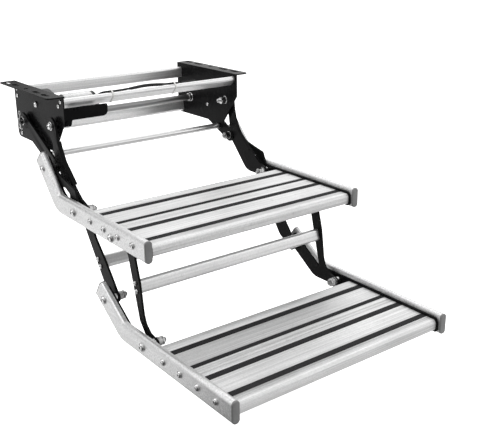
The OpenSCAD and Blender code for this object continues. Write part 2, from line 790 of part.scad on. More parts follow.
// Bent rail tube: one ring of points at each station along its axis, outer and inner
module rail_tube(bend, angle, leg, front_y) {
  bend_steps = 6;
  cut = bend_r * tan(angle / 2);
  start = bend[0] - cut;
  stations = concat([[front_y - start, 0]], [for (i = [0:bend_steps]) [0, angle * i / bend_steps]],
    [[leg - cut, angle]]);
  outer = rail_loop(0);
  inner = rail_loop(-rail_wall);
  n = len(outer);
  last = len(stations) - 1;
  points = [for (q = stations) each [for (loop = [outer, inner]) each [for (c = loop)
    [c[1] - rail_mid,
     start + (bend_r - c[0]) * sin(q[1]) + q[0] * cos(q[1]),
     bend[1] + bend_r - (bend_r - c[0]) * cos(q[1]) + q[0] * sin(q[1])]]]];
  walls = [for (k = [0:last - 1]) each [for (i = [0:n - 1])
    let (j = (i + 1) % n, o = 2 * n * k, e = 2 * n * (k + 1))
    each [[o + i, e + i, e + j, o + j], [o + n + i, o + n + j, e + n + j, e + n + i]]]];
  ends = [for (i = [0:n - 1]) let (j = (i + 1) % n, e = 2 * n * last)
    each [[i, j, n + j, n + i], [e + j, e + i, e + n + i, e + n + j]]];
  polyhedron(points = points, faces = concat(walls, ends));
}

module rail(bend, angle, leg, front_y, holes, screws) {
  color(aluminium) difference() {
    rail_tube(bend, angle, leg, front_y);
    for (p = holes) rod_x(p, pivot_d + 2 * hole_play, -rail_out - 1, -rail_in + 1);
    for (p = screws) rod_x(p, 6, -rail_out - 1, -rail_in + 1);
  }
}

function screw_points(pivot) = [for (i = [0:3]) pivot + [-screw_first - i * screw_step, 1.2]];

module end_caps(bend, angle, leg, front_y) {
  color(grey_plastic) both() translate([-rail_mid, 0, bend[1]]) {
    along(front_y, cap_t) rail_shape(0);
    along(front_y + 12, 12) rail_shape(-rail_wall - 0.3);
    translate([0, bend[0], 0]) rotate([angle, 0, 0]) {
      along(leg + leg_cap_t, leg_cap_t) rail_shape(0);
      along(leg, 12) rail_shape(-rail_wall - 0.3);
    }
  }
}

// Plate inside a rail, following its bend
module step_plates(pivot, bend, angle, leg, holes, screws) {
  low = -19;
  high = 13;
  half = 17;
  tip = leg - 6;
  front = pivot[0] - 293.4;
  color(steel_black) both() difference() {
    side(-rail_in, -step_in) {
      polygon(outline([
        [front, pivot[1] + low, 7],
        leg_point(bend, angle, (low + half * cos(angle)) / sin(angle), half, 40),
        leg_point(bend, angle, tip, half, 8), leg_point(bend, angle, tip, -half, 8),
        leg_point(bend, angle, (high - half * cos(angle)) / sin(angle), -half, 10),
        [front, pivot[1] + high, 13]]));
      children();
    }
    for (p = holes) rod_x(p, pivot_d + 2 * hole_play, -rail_in - 1, -step_in + 1);
    for (p = screws) rod_x(p, 6, -rail_in - 1, -step_in + 1);
  }
}

strip_mid = [71, 139, 188.5, 257];
strip_widths = [strip_w, strip_thin, strip_w, strip_nose];
// Two drawn lines between the second and third strip
line_w = 1.3;
line_d = 1.3;

function groove(u, w, d) =
  [[u - w / 2, tread_top], [u - w / 2, tread_top - d], [u + w / 2, tread_top - d], [u + w / 2, tread_top]];

tread_top_line = concat(
  groove(strip_mid[0], strip_widths[0], strip_groove), groove(strip_mid[1], strip_widths[1], strip_groove),
  groove(158.5, line_w, line_d), groove(167.5, line_w, line_d),
  groove(strip_mid[2], strip_widths[2], strip_groove), groove(strip_mid[3], strip_widths[3], strip_groove));

boss_line = [for (i = [3:-1:0]) let (u = screw_first + i * screw_step)
  each [[u + 4.5, tread_under], [u + 4.5, -3.3], [u - 4.5, -3.3], [u - 4.5, tread_under]]];

function sharp(p) = [for (q = p) [q[0], q[1], 0]];

tread_path = concat(
  [[tread_back, -8.5, 0], [tread_back, tread_top, 2]], sharp(tread_top_line),
  [[tread_nose, tread_top, 8], [tread_nose, -nose_drop, 6],
   [tread_nose - 20, -nose_drop, 0], [tread_nose - 20, 3 - nose_drop, 0],
   [tread_nose - 4, 3 - nose_drop, 2], [tread_nose - 4, tread_under, 3]],
  sharp(boss_line),
  [[tread_back + 3.2, tread_under, 0], [tread_back + 3.2, -8.5, 0]]);

module tread(pivot) {
  half = step_in - 0.1;
  color(aluminium) difference() {
    side(-half, half) translate(pivot) mirror([1, 0]) polygon(outline(tread_path));
    both() for (p = screw_points(pivot)) rod_x(p, 5.4, -half - 1, -half + 24);
  }
}

module grip_strips(pivot) {
  half = step_in - 0.4;
  play = 0.1;
  low = tread_top - strip_groove + 0.05;
  high = tread_top + strip_proud;
  color(rubber) for (i = [0:3])
    let (u0 = strip_mid[i] - strip_widths[i] / 2 + play, u1 = strip_mid[i] + strip_widths[i] / 2 - play)
      side(-half, half) translate(pivot) mirror([1, 0])
        polygon(outline([[u0, low, 0], [u0, high, 0.7], [u1, high, 0.7], [u1, low, 0]]));
}

module tread_screws(pivot) {
  color(zinc) both() for (p = screw_points(pivot)) dome_bolt(p, 5, 14, 4.5, -rail_out, -step_in + 20);
}

upper_holes = [upper_pivot, rear_pivot, link_pivot];
upper_front = upper_pivot[0] - upper_reach;
lower_holes = [lower_pivot, front_pivot];
lower_front = front_pivot[0] - lower_reach;

module upper_left_rail() {
  rail(upper_bend, upper_leg_angle, upper_leg, upper_front, upper_holes, screw_points(upper_pivot));
}

module upper_right_rail() {
  mirror([1, 0, 0]) upper_left_rail();
}

module upper_tread() {
  tread(upper_pivot);
}

module upper_grip_strips() {
  grip_strips(upper_pivot);
}

// Web in the bend of the upper plates, open behind the lever
web_edge = [[4, 6, 0], [20, 42, 8], [52, 49, 30], [84, 57, 20], [126, 74, 0], [112, 40, 0], [84, 2, 0]];
web_opening = [[86, 35, 2], [66, 36.5, 8], [45, 27, 5], [46, 17, 3], [59, 14, 4], [77, 24, 10]];

function beyond(p, q) = [for (c = q) [p[0] + c[0], p[1] + c[1], c[2]]];

module upper_side_plates() {
  step_plates(upper_pivot, upper_bend, upper_leg_angle, upper_leg, upper_holes, screw_points(upper_pivot))
    difference() {
      polygon(outline(beyond(upper_pivot, web_edge)));
      polygon(outline(beyond(upper_pivot, web_opening)));
    }
}

module upper_end_caps() {
  end_caps(upper_bend, upper_leg_angle, upper_leg, upper_front);
}

module upper_tread_screws() {
  tread_screws(upper_pivot);
}

module upper_pivot_bolts() {
  color(zinc) both() pivot_bolt(upper_pivot);
}

module upper_rear_bolts() {
  color(zinc) both() rail_bolt(rear_pivot, 16, 5, -arm_out - 0.4);
}

module link_pivot_bolts() {
  color(zinc) both() pivot_bolt(link_pivot);
}

// Link from the upper rail down to the lower rail
module front_link() {
  a = link_pivot;
  b = front_pivot;
  ab = norm(b - a);
  color(steel_black) difference() {
    side(-arm_out, -arm_in) polygon(outline([
      beside(a, b, -12, 12, 11.9), beside(a, b, 16, 14, 10), beside(a, b, 48, 17, 14),
      beside(a, b, 101, 6, 80),
      beside(a, b, 164, -16.5, 20), beside(a, b, 184, -19, 14), beside(a, b, 204, -11, 10),
      beside(a, b, ab - 2, 10, 8), beside(a, b, ab + 12, 10, 9), beside(a, b, ab + 12, -14, 11),
      beside(a, b, ab - 14, -29, 14), beside(a, b, 174, -37, 16), beside(a, b, 95, -19.5, 80),
      beside(a, b, 41, -7, 20), beside(a, b, -12, -12, 10)]));
    rod_x(a, pivot_d + 2 * run_play, -arm_out - 1, -arm_in + 1);
    rod_x(b, pivot_d + 2 * hole_play, -arm_out - 1, -arm_in + 1);
    for (p = tube_screw_points(link_tube, link_tube_tilt)) rod_x(p, 4.8, -arm_out - 1, -arm_in + 1);
  }
}

module left_front_link() {
  front_link();
}

module right_front_link() {
  mirror([1, 0, 0]) front_link();
}

module front_link_tube() {
  color(aluminium) cross_tube(link_tube, link_tube_tilt, arm_in);
}

module front_link_screws() {
  color(zinc) both() tube_screws(link_tube, link_tube_tilt, arm_out, 11, 4);
}

module front_link_nuts() {
  color(zinc) both() {
    rod_x(front_pivot, pivot_d, -arm_out + 0.2, -arm_in + 1);
    nut_stack(front_pivot, -arm_in);
  }
}

module lower_left_rail() {
  rail(lower_bend, lower_leg_angle, lower_leg, lower_front, lower_holes, screw_points(front_pivot));
}

module lower_right_rail() {
  mirror([1, 0, 0]) lower_left_rail();
}

module lower_tread() {
  tread(front_pivot);
}

module lower_grip_strips() {
  grip_strips(front_pivot);
}

module lower_side_plates() {
  step_plates(front_pivot, lower_bend, lower_leg_angle, lower_leg, lower_holes, screw_points(front_pivot));
}

module lower_end_caps() {
  end_caps(lower_bend, lower_leg_angle, lower_leg, lower_front);
}

module lower_tread_screws() {
  tread_screws(front_pivot);
}

module lower_pivot_bolts() {
  color(zinc) both() pivot_bolt(lower_pivot);
}

module lower_front_bolts() {
  color(zinc) both() rail_bolt(front_pivot, 18, 6, -arm_out - 0.4);
}

left_side_plate();
right_side_plate();
front_top_tube();
rear_top_tube();
rear_lower_tube();
frame_tube_screws();
lever_pivot_bolts();
shaft_bushes();
gearbox_case();
gearbox_cover();
gearbox_bolts();
idler_axle();
motor_can();
motor_end_cap();
motor_cover();
motor_cover_screws();
motor_lead();
lead_plug();
cable_ties();
drive_shaft();
left_drive_arm();
right_drive_arm();
drive_tie_rod();
tie_rod_screws();
shaft_castle_nuts();
shaft_split_pins();
drive_gear();
drive_arm_nuts();
motor_pinion();
idler_gear();
left_lever();
right_lever();
lever_cross_tube();
lever_tube_screws();
upper_left_rail();
upper_right_rail();
upper_tread();
upper_grip_strips();
upper_side_plates();
upper_end_caps();
upper_tread_screws();
upper_pivot_bolts();
upper_rear_bolts();
link_pivot_bolts();
left_front_link();
right_front_link();
front_link_tube();
front_link_screws();
front_link_nuts();
lower_left_rail();
lower_right_rail();
lower_tread();
lower_grip_strips();
lower_side_plates();
lower_end_caps();
lower_tread_screws();
lower_pivot_bolts();
lower_front_bolts();
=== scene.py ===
"""Looks of a double fold-out caravan step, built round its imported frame."""

from __future__ import annotations

import json
import logging
import math
from dataclasses import dataclass
from enum import Enum
from typing import Any, Iterable, Optional, Sequence, Union

import bmesh
import bpy
from mathutils import Matrix, Vector

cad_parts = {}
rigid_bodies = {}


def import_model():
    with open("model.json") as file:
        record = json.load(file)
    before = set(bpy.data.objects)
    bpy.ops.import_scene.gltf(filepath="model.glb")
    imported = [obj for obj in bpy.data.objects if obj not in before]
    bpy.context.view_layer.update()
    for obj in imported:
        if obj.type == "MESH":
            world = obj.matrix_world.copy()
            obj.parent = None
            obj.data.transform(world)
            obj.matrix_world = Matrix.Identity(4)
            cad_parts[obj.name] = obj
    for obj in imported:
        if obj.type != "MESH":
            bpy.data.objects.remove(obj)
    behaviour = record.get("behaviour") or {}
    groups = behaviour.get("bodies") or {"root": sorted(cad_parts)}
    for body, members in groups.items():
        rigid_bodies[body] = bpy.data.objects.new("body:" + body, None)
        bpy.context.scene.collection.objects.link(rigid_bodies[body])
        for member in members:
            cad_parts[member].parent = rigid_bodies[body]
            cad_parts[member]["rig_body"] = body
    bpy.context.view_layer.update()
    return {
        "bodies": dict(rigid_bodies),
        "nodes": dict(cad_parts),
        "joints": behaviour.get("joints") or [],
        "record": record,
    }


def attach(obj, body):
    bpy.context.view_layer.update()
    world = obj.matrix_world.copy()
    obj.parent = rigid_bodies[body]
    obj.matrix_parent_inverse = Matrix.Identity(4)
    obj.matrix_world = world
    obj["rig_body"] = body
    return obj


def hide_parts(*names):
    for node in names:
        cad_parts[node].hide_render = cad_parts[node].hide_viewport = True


LOG = logging.getLogger("step")
MM = 0.001
Point = tuple[float, float]
Colour = tuple[float, float, float]
Vert = bmesh.types.BMVert
Edge = bmesh.types.BMEdge
Face = bmesh.types.BMFace
Piece = bpy.types.Object
Material = bpy.types.Material

# Points closer than this are merged, in millimetres
MERGE = 0.002
# Faces that meet at less than this many degrees are joined
FLAT_ANGLE = 0.6

# Distances from the middle of the step, in millimetres
RAIL_OUT = 275.0
RAIL_MID = 267.0
STEP_IN = 255.0
ARM_OUT = 246.0
ARM_IN = 241.0
PLATE_OUT = 234.8
PLATE_IN = 231.8

# Pivots and axes in the side view, as (y, z) in millimetres
LEVER_PIVOT = (-98.0, -71.0)
UPPER_PIVOT = (-242.0, -229.5)
REAR_PIVOT = (-100.0, -164.0)
LOWER_PIVOT = (-357.0, -391.5)
FRONT_PIVOT = (-510.0, -436.5)
LINK_PIVOT = (-407.3, -238.0)
SHAFT_AXIS = (60.84, -86.5)
MOTOR_AXIS = (-74.04, -36.07)

# Middle of the front top tube in the side view, and its tilt in degrees
FRONT_TOP = ((-127.3, -18.5), -42.8)
# Distance between the two screws in a tube's end
SCREW_PITCH = 17.0
# Where the motor lead leaves the motor: X, and direction round the motor in degrees
LEAD_X = -131.0
LEAD_TURN = 145.0


class Side(Enum):
    """Side of the step, as the sign of X."""

    LEFT = -1
    RIGHT = 1


class Grain(Enum):
    """Direction in which a metal was drawn or brushed, as noise stretch per axis."""

    ACROSS = (2.5, 260.0, 260.0)
    ALONG = (260.0, 5.0, 90.0)


def cosd(angle: float) -> float:
    """Cosine of an angle in degrees."""
    return math.cos(math.radians(angle))


def sind(angle: float) -> float:
    """Sine of an angle in degrees."""
    return math.sin(math.radians(angle))


def turned(angle: float, axis: str) -> Matrix:
    """Rotation by an angle in degrees about an axis."""
    return Matrix.Rotation(math.radians(angle), 4, axis)


def grey(value: float) -> Colour:
    """Neutral colour."""
    return (value, value, value)


def of_kind(geom: Iterable[Any], kind: type) -> list[Any]:
    """Points, edges or faces among what a mesh operator gives back."""
    return [g for g in geom if isinstance(g, kind)]


class Val:
    """A shader socket that takes part in sums and products."""

    def __init__(self, graph: "Graph", socket: bpy.types.NodeSocket) -> None:
        """Keep the socket and the graph it belongs to."""
        self.graph = graph
        self.socket = socket

    def __add__(self, other: "Number") -> "Val":
        """Sum."""
        return self.graph.math("ADD", self, other)

    def __sub__(self, other: "Number") -> "Val":
        """Difference."""
        return self.graph.math("SUBTRACT", self, other)

    def __rsub__(self, other: "Number") -> "Val":
        """Difference with a number on the left."""
        return self.graph.math("SUBTRACT", other, self)

    def __mul__(self, other: "Number") -> "Val":
        """Product."""
        return self.graph.math("MULTIPLY", self, other)

    __radd__ = __add__
    __rmul__ = __mul__


Number = Union[Val, float]


class Graph:
    """A shader node tree that is being filled."""

    def __init__(self, tree: bpy.types.NodeTree, coords: str) -> None:
        """Empty the tree and start from a texture coordinate.

        Args:
            tree: Node tree of a material or world.
            coords: Output of the Texture Coordinate node that patterns read.
        """
        self.tree = tree
        self.tree.nodes.clear()
        self.coords = self.node("ShaderNodeTexCoord", {}, {}, coords)

    def node(self, kind: str, settings: dict[str, Any], inputs: dict[Any, Any], output: Any = 0) -> Val:
        """Add a node.

        Args:
            kind: Blender's node type.
            settings: Attributes, which are set first.
            inputs: Values or links by socket name or index.
            output: Output socket that is wanted.

        Returns:
            The output socket.
        """
        made = self.tree.nodes.new(kind)
        for key, value in settings.items():
            setattr(made, key, value)
        for key, value in inputs.items():
            self.feed(made.inputs[key], value)
        return Val(self, made.outputs[output])

    def feed(self, socket: bpy.types.NodeSocket, value: Any) -> None:
        """Link a socket to a Val, or set it to a plain value.

        Args:
            socket: Socket to feed.
            value: Val, number, vector or colour.
        """
        if isinstance(value, Val):
            self.tree.links.new(value.socket, socket)
        elif isinstance(value, tuple) and len(value) == 3 and socket.type == "RGBA":
            socket.default_value = (*value, 1.0)
        else:
            socket.default_value = value

    def math(self, operation: str, a: Number, b: Number) -> Val:
        """Math node on two numbers or sockets."""
        return self.node("ShaderNodeMath", {"operation": operation}, {0: a, 1: b})

    def axes(self) -> list[Val]:
        """X, Y and Z of the coordinates."""
        split = self.node("ShaderNodeSeparateXYZ", {}, {"Vector": self.coords})
        return [Val(self, s) for s in split.socket.node.outputs]

    def stretched(self, stretch: Sequence[float]) -> Val:
        """Coordinates scaled by axis."""
        return self.node("ShaderNodeMapping", {}, {"Vector": self.coords, "Scale": tuple(stretch)})

    def noise(self, scale: float, detail: float, where: Optional[Val] = None) -> Val:
        """Noise of some cells per unit and octaves, about 0.5 in the mean, on other coordinates if given."""
        inputs = {"Vector": where or self.coords, "Scale": scale, "Detail": detail, "Roughness": 0.55}
        return self.node("ShaderNodeTexNoise", {}, inputs, "Fac")

    def ramp(self, value: Val, low: float, high: float) -> Val:
        """Value stretched so that low gives 0 and high gives 1, clamped."""
        inputs = {"Value": value, "From Min": low, "From Max": high}
        return self.node("ShaderNodeMapRange", {"clamp": True}, inputs)

    def mix(self, factor: Number, a: Any, b: Any) -> Val:
        """Colour between two.

        Args:
            factor: 0 for the first colour, 1 for the second.
            a: First colour.
            b: Second colour.

        Returns:
            The colour.
        """
        made = self.tree.nodes.new("ShaderNodeMix")
        made.data_type = "RGBA"
        self.feed(made.inputs["Factor"], factor)
        colours = [s for s in made.inputs if s.type == "RGBA"]
        self.feed(colours[0], a)
        self.feed(colours[1], b)
        return Val(self, next(s for s in made.outputs if s.type == "RGBA"))


class Paint(Graph):
    """Node tree of one material, with a principled shader at its end."""

    def __init__(self, name: str) -> None:
        """Start an empty material.

        Args:
            name: Name of the material.
        """
        self.material = bpy.data.materials.new(name)
        self.material.use_nodes = True
        super().__init__(self.material.node_tree, "Object")
        self.shader = self.tree.nodes.new("ShaderNodeBsdfPrincipled")
        output = self.tree.nodes.new("ShaderNodeOutputMaterial")
        self.tree.links.new(self.shader.outputs["BSDF"], output.inputs["Surface"])

    def bump(self, height: Val, strength: float, distance: float) -> None:
        """Give the shader a bump from a height, with a strength of 0 to 1 and a depth in metres."""
        inputs = {"Height": height, "Strength": strength, "Distance": distance}
        self.set("Normal", self.node("ShaderNodeBump", {}, inputs, "Normal"))

    def set(self, socket: str, value: Any) -> None:
        """Set or link one of the shader's sockets."""
        self.feed(self.shader.inputs[socket], value)


@dataclass(frozen=True)
class Finish:
    """What every finish has."""

    name: str  # Material name
    main: Colour  # Main or bright colour
    worn: Colour  # Dull, rubbed or dusty colour
    rough: float  # Mean roughness

    def paint(self, g: Paint) -> None:
        """Fill the node tree, which each finish does in its own way."""
        raise NotImplementedError

    def build(self) -> Material:
        """Make the material.

        Returns:
            The material.
        """
        g = Paint(self.name)
        self.paint(g)
        return g.material


@dataclass(frozen=True)
class DrawnMetal(Finish):
    """Drawn or brushed metal: fine lines, soft clouds and a few scuffs."""

    grain: Grain = Grain.ACROSS  # Direction of the lines
    metal: float = 1.0  # Metallic share; less than 1 stands for a milky anodised skin
    mottle: float = 0.0  # Strength of the small cloudy cells of a tumbled skin

    def paint(self, g: Paint) -> None:
        """Fill the node tree.

        Args:
            g: Node tree of the material.
        """
        lines = g.noise(1.0, 4.0, g.stretched(self.grain.value))
        cloud = g.noise(9.0, 4.0)
        scuff = g.ramp(g.noise(58.0, 6.0), 0.62, 0.76)
        cells = g.ramp(g.noise(330.0, 2.0), 0.38, 0.66)
        shade = g.ramp(0.75 * lines + 0.25 * cloud, 0.38, 0.62)
        dull = tuple(0.82 * v for v in self.worn)
        wear = 0.45 * scuff + self.mottle * cells
        g.set("Base Color", g.mix(wear, g.mix(shade, self.worn, self.main), dull))
        g.set("Metallic", self.metal)
        g.set("Roughness", self.rough + 0.16 * (lines - 0.5) + 0.10 * (cloud - 0.5) + 0.06 * scuff)
        g.bump(lines, strength=0.10, distance=0.0003)


@dataclass(frozen=True)
class PowderCoat(Finish):
    """Powder-coated sheet steel: fine orange peel, a little dust."""

    gloss: float = 0.05  # Specular level

    def paint(self, g: Paint) -> None:
        """Fill the node tree.

        Args:
            g: Node tree of the material.
        """
        peel = g.noise(1100.0, 2.0)
        haze = g.ramp(g.noise(17.0, 5.0), 0.42, 0.72)
        rub = g.ramp(g.noise(85.0, 6.0), 0.64, 0.76)
        g.set("Base Color", g.mix(0.5 * haze + 0.3 * rub, self.main, self.worn))
        g.set("Roughness", self.rough + 0.10 * (haze - 0.5) + 0.08 * (peel - 0.5) - 0.06 * rub)
        g.set("Specular IOR Level", self.gloss)
        g.bump(peel, strength=0.20, distance=0.0004)


@dataclass(frozen=True)
class PlatedSteel(Finish):
    """Zinc-plated steel with a cloudy sheen."""

    def paint(self, g: Paint) -> None:
        """Fill the node tree.

        Args:
            g: Node tree of the material.
        """
        cloud = g.noise(150.0, 4.0)
        grit = g.noise(1500.0, 2.0)
        g.set("Base Color", g.mix(g.ramp(cloud, 0.34, 0.66), self.worn, self.main))
        g.set("Metallic", 1.0)
        g.set("Roughness", self.rough + 0.18 * (cloud - 0.5) + 0.06 * (grit - 0.5))
        g.bump(grit, strength=0.06, distance=0.0002)


@dataclass(frozen=True)
class Moulded(Finish):
    """Moulded plastic or rubber with a fine grained skin."""

    skin: float  # Cells per metre of the grain
    relief: float  # Strength of the grain
    gloss: float = 0.4  # Specular level

    def paint(self, g: Paint) -> None:
        """Fill the node tree.

        Args:
            g: Node tree of the material.
        """
        grain = g.noise(self.skin, 3.0)
        rub = g.ramp(g.noise(24.0, 5.0), 0.45, 0.75)
        g.set("Base Color", g.mix(0.6 * rub + 0.3 * (grain - 0.5), self.main, self.worn))
        g.set("Roughness", self.rough + 0.12 * (rub - 0.5) + 0.06 * (grain - 0.5))
        g.set("Specular IOR Level", self.gloss)
        g.bump(grain, strength=self.relief, distance=0.0005)


class Coat:
    """A finish, and the record's material slot that it belongs to."""

    def __init__(self, slot: str, finish: Finish) -> None:
        """Make the finish's material and keep the slot."""
        self.slot = slot
        self.material = finish.build()


class Palette:
    """Finishes of the step, made once."""

    def __init__(self) -> None:
        """Make every finish."""
        ink = (0.012, 0.012, 0.013)
        self.rail = Coat("aluminium", DrawnMetal(
            "rail_aluminium", grey(0.85), grey(0.70), 0.40, Grain.ALONG, metal=0.85, mottle=0.9))
        self.tread = Coat("aluminium", DrawnMetal(
            "tread_aluminium", grey(0.88), grey(0.60), 0.50, metal=0.65, mottle=0.3))
        self.tube = Coat("aluminium", DrawnMetal(
            "tube_aluminium", grey(0.90), grey(0.72), 0.38, metal=0.85, mottle=0.4))
        self.shaft = Coat("zinc_steel", DrawnMetal("ground_steel", grey(0.30), grey(0.22), 0.34))
        self.rod = Coat("zinc_steel", DrawnMetal("drawn_steel", grey(0.78), grey(0.60), 0.36))
        self.black = Coat("black_steel", PowderCoat(
            "black_powder_coat", (0.0060, 0.0060, 0.0062), (0.0110, 0.0110, 0.0114), 0.27))
        self.zinc = Coat("zinc_steel", PlatedSteel("zinc_plate", grey(0.80), grey(0.48), 0.15))
        # Darker copy of the zinc plate: painted shade for the nuts on the arms' inner sides, which sit in
        # shadow
        self.nut = Coat("zinc_steel", PlatedSteel("nut_steel", grey(0.42), grey(0.22), 0.24))
        self.can = Coat("zinc_steel", PlatedSteel("motor_steel", grey(0.58), grey(0.44), 0.38))
        self.rubber = Coat("grip_rubber", Moulded(
            "grip_rubber", ink, (0.030, 0.030, 0.032), 0.72, skin=1400.0, relief=0.25, gloss=0.25))
        self.cap = Coat("grey_plastic", Moulded(
            "grey_caps", grey(0.21), grey(0.32), 0.52, skin=420.0, relief=0.15))
        self.plastic = Coat("black_plastic", Moulded(
            "black_plastic", ink, (0.030, 0.030, 0.031), 0.48, skin=1500.0, relief=0.12, gloss=0.3))
        self.nylon = Coat("white_plastic", Moulded(
            "white_nylon", (0.86, 0.86, 0.84), (0.76, 0.76, 0.74), 0.40, skin=900.0, relief=0.05))


class Form:
    """A mesh under construction, in millimetres of the part's frame."""

    def __init__(self) -> None:
        """Start with nothing."""
        self.bm = bmesh.new()

    @classmethod
    def of_node(cls, source: Piece) -> "Form":
        """Copy a CAD node, with its points merged and its flat faces joined.

        Args:
            source: The node's object, which is left alone.

        Returns:
            The copy.
        """
        form = cls()
        form.bm.from_mesh(source.data)
        bmesh.ops.scale(form.bm, vec=(1 / MM, 1 / MM, 1 / MM), verts=form.bm.verts)
        bmesh.ops.remove_doubles(form.bm, verts=form.bm.verts, dist=MERGE)
        bmesh.ops.dissolve_limit(
            form.bm, angle_limit=math.radians(FLAT_ANGLE), verts=form.bm.verts, edges=form.bm.edges)
        return form

    def since(self, before: set[Vert]) -> list[Vert]:
        """Points that were not there before."""
        return [v for v in self.bm.verts if v not in before]

    def seal(self, verts: Iterable[Vert]) -> None:
        """Merge an island's doubled points and turn its faces outwards.

        Args:
            verts: Points of the island.
        """
        kept = list(verts)
        bmesh.ops.remove_doubles(self.bm, verts=kept, dist=MERGE)
        faces = {f for v in kept if v.is_valid for f in v.link_faces}
        bmesh.ops.recalc_face_normals(self.bm, faces=list(faces))

    def settle(self, before: set[Vert], frame: Matrix) -> None:
        """Move an island that was made at the origin to its frame, and seal it.

        Args:
            before: Points that were there before it.
            frame: Its place.
        """
        made = self.since(before)
        bmesh.ops.transform(self.bm, matrix=frame, verts=made)
        self.seal(made)

    def ring(self, points: Iterable[Sequence[float]]) -> list[Edge]:
        """Closed ring of edges through points."""
        verts = [self.bm.verts.new(p) for p in points]
        return [self.bm.edges.new((a, b)) for a, b in zip(verts, verts[1:] + verts[:1])]

    def pull(self, edges: Sequence[Edge], vec: Sequence[float]) -> list[Edge]:
        """Extrude a ring of edges along a vector.

        Args:
            edges: Ring to extrude.
            vec: Way it goes.

        Returns:
            The new ring.
        """
        made = bmesh.ops.extrude_edge_only(self.bm, edges=edges)["geom"]
        fresh = of_kind(made, Vert)
        bmesh.ops.translate(self.bm, vec=vec, verts=fresh)
        return [e for e in of_kind(made, Edge) if all(v in fresh for v in e.verts)]

    def close(self, verts: Iterable[Vert]) -> None:
        """Fill an island's open ends."""
        rims = {e for v in verts for e in v.link_edges if e.is_boundary}
        bmesh.ops.holes_fill(self.bm, edges=list(rims), sides=0)

    def bevel(self, edges: Iterable[Edge], offset: float, segments: int) -> None:
        """Round some edges.

        Args:
            edges: Edges to round.
            offset: Width of the rounding.
            segments: Steps of the rounding.
        """
        bmesh.ops.bevel(
            self.bm, geom=list(edges), offset=offset, offset_type="OFFSET", affect="EDGES",
            segments=segments, profile=0.5, material=-1, clamp_overlap=True)

    def lathe(self, profile: Sequence[Point], frame: Matrix, steps: int = 24, socket: float = 0.0) -> None:
        """Spin a profile round the X axis of a frame.

        Args:
            profile: Points as (x, radius), from axis to axis.
            frame: Where the axis lies.
            steps: Sides of the turned shape.
            socket: Radius of rings that become hexagons; 0 for none.
        """
        before = set(self.bm.verts)
        verts = [self.bm.verts.new((x, 0.0, r)) for x, r in profile]
        edges = [self.bm.edges.new(pair) for pair in zip(verts, verts[1:])]
        bmesh.ops.spin(
            self.bm, geom=verts + edges, axis=(1, 0, 0), angle=math.tau, steps=steps, use_merge=True)
        for v in self.since(before):
            if socket and abs(math.hypot(v.co.y, v.co.z) - socket) < 1e-3:
                turn = math.degrees(math.atan2(v.co.z, v.co.y)) % 60.0 - 30.0
                flat = cosd(30) / cosd(turn)
                v.co.y *= flat
                v.co.z *= flat
        self.settle(before, frame)

    def nut(self, frame: Matrix, across: float, x0: float, x1: float) -> None:
        """Hexagon with its corners chamfered at both ends.

        Args:
            frame: Where its X axis lies.
            across: Width over the flats.
            x0: One end.
            x1: Other end.
        """
        before = set(self.bm.verts)
        radius = across / 2 / cosd(30)
        upright = Matrix.Translation(((x0 + x1) / 2, 0, 0)) @ turned(90.0, "Y")
        bmesh.ops.create_cone(
            self.bm, cap_ends=True, segments=6, radius1=radius, radius2=radius, depth=x1 - x0,
            matrix=upright)
        corners = sorted({round(math.atan2(v.co.z, v.co.y), 3) for v in self.since(before)})
        for end, way in ((x0, -1.0), (x1, 1.0)):
            for angle in corners:
                radial = Vector((0.0, math.cos(angle), math.sin(angle)))
                verts = self.since(before)
                edges = {e for v in verts for e in v.link_edges}
                faces = {f for v in verts for f in v.link_faces}
                cut = bmesh.ops.bisect_plane(
                    self.bm, geom=verts + list(edges) + list(faces), dist=1e-4,
                    plane_co=Vector((end, 0.0, 0.0)) + radial * across / 2,
                    plane_no=Vector((way * cosd(30), 0.0, 0.0)) + radial * 0.5, clear_outer=True)
                bmesh.ops.holes_fill(self.bm, edges=of_kind(cut["geom_cut"], Edge), sides=0)
        self.settle(before, frame)

    def thread(self, frame: Matrix, radius: float, x0: float, x1: float) -> None:
        """Screw thread: a ridge wound round the X axis of a frame.

        Args:
            frame: Where the axis lies.
            radius: Outer radius.
            x0: Where the thread starts.
            x1: Where it ends.
        """
        pitch, per_turn = 1.5, 14
        turns = (x1 - x0) / pitch - 1.0
        core = 0.84 * radius
        before = set(self.bm.verts)
        edges = self.ring([(x0, 0.0, core), (x0 + pitch / 2, 0.0, radius), (x0 + pitch, 0.0, core)])
        bmesh.ops.spin(
            self.bm, geom=self.since(before) + edges, axis=(1, 0, 0), dvec=(pitch / per_turn, 0, 0),
            angle=math.tau * turns, steps=round(per_turn * turns))
        self.close(self.since(before))
        self.settle(before, frame)

    def sweep(self, path: Sequence[Vector], radii: Sequence[float], sides: int) -> None:
        """Round bar along a path.

        Args:
            path: Points of its middle.
            radii: Radius at each point.
            sides: Sides of the bar.
        """
        before = set(self.bm.verts)
        ways = [(b - a).normalized() for a, b in zip(path, path[1:])]
        heads = [ways[0]] + [(a + b).normalized() for a, b in zip(ways, ways[1:])] + [ways[-1]]
        u = heads[0].orthogonal().normalized()
        v = heads[0].cross(u)
        turns = [math.tau * i / sides for i in range(sides)]
        edges = self.ring([path[0] + radii[0] * (math.cos(a) * u + math.sin(a) * v) for a in turns])
        for k in range(1, len(path)):
            edges = self.pull(edges, path[k] - path[k - 1])
            verts = list({w for e in edges for w in e.verts})
            bend = heads[k - 1].rotation_difference(heads[k]).to_matrix()
            bmesh.ops.rotate(self.bm, cent=path[k], matrix=bend, verts=verts)
            grow = radii[k] / radii[k - 1]
            bmesh.ops.scale(
                self.bm, vec=(grow, grow, grow), space=Matrix.Translation(-path[k]), verts=verts)
        made = self.since(before)
        self.close(made)
        self.seal(made)

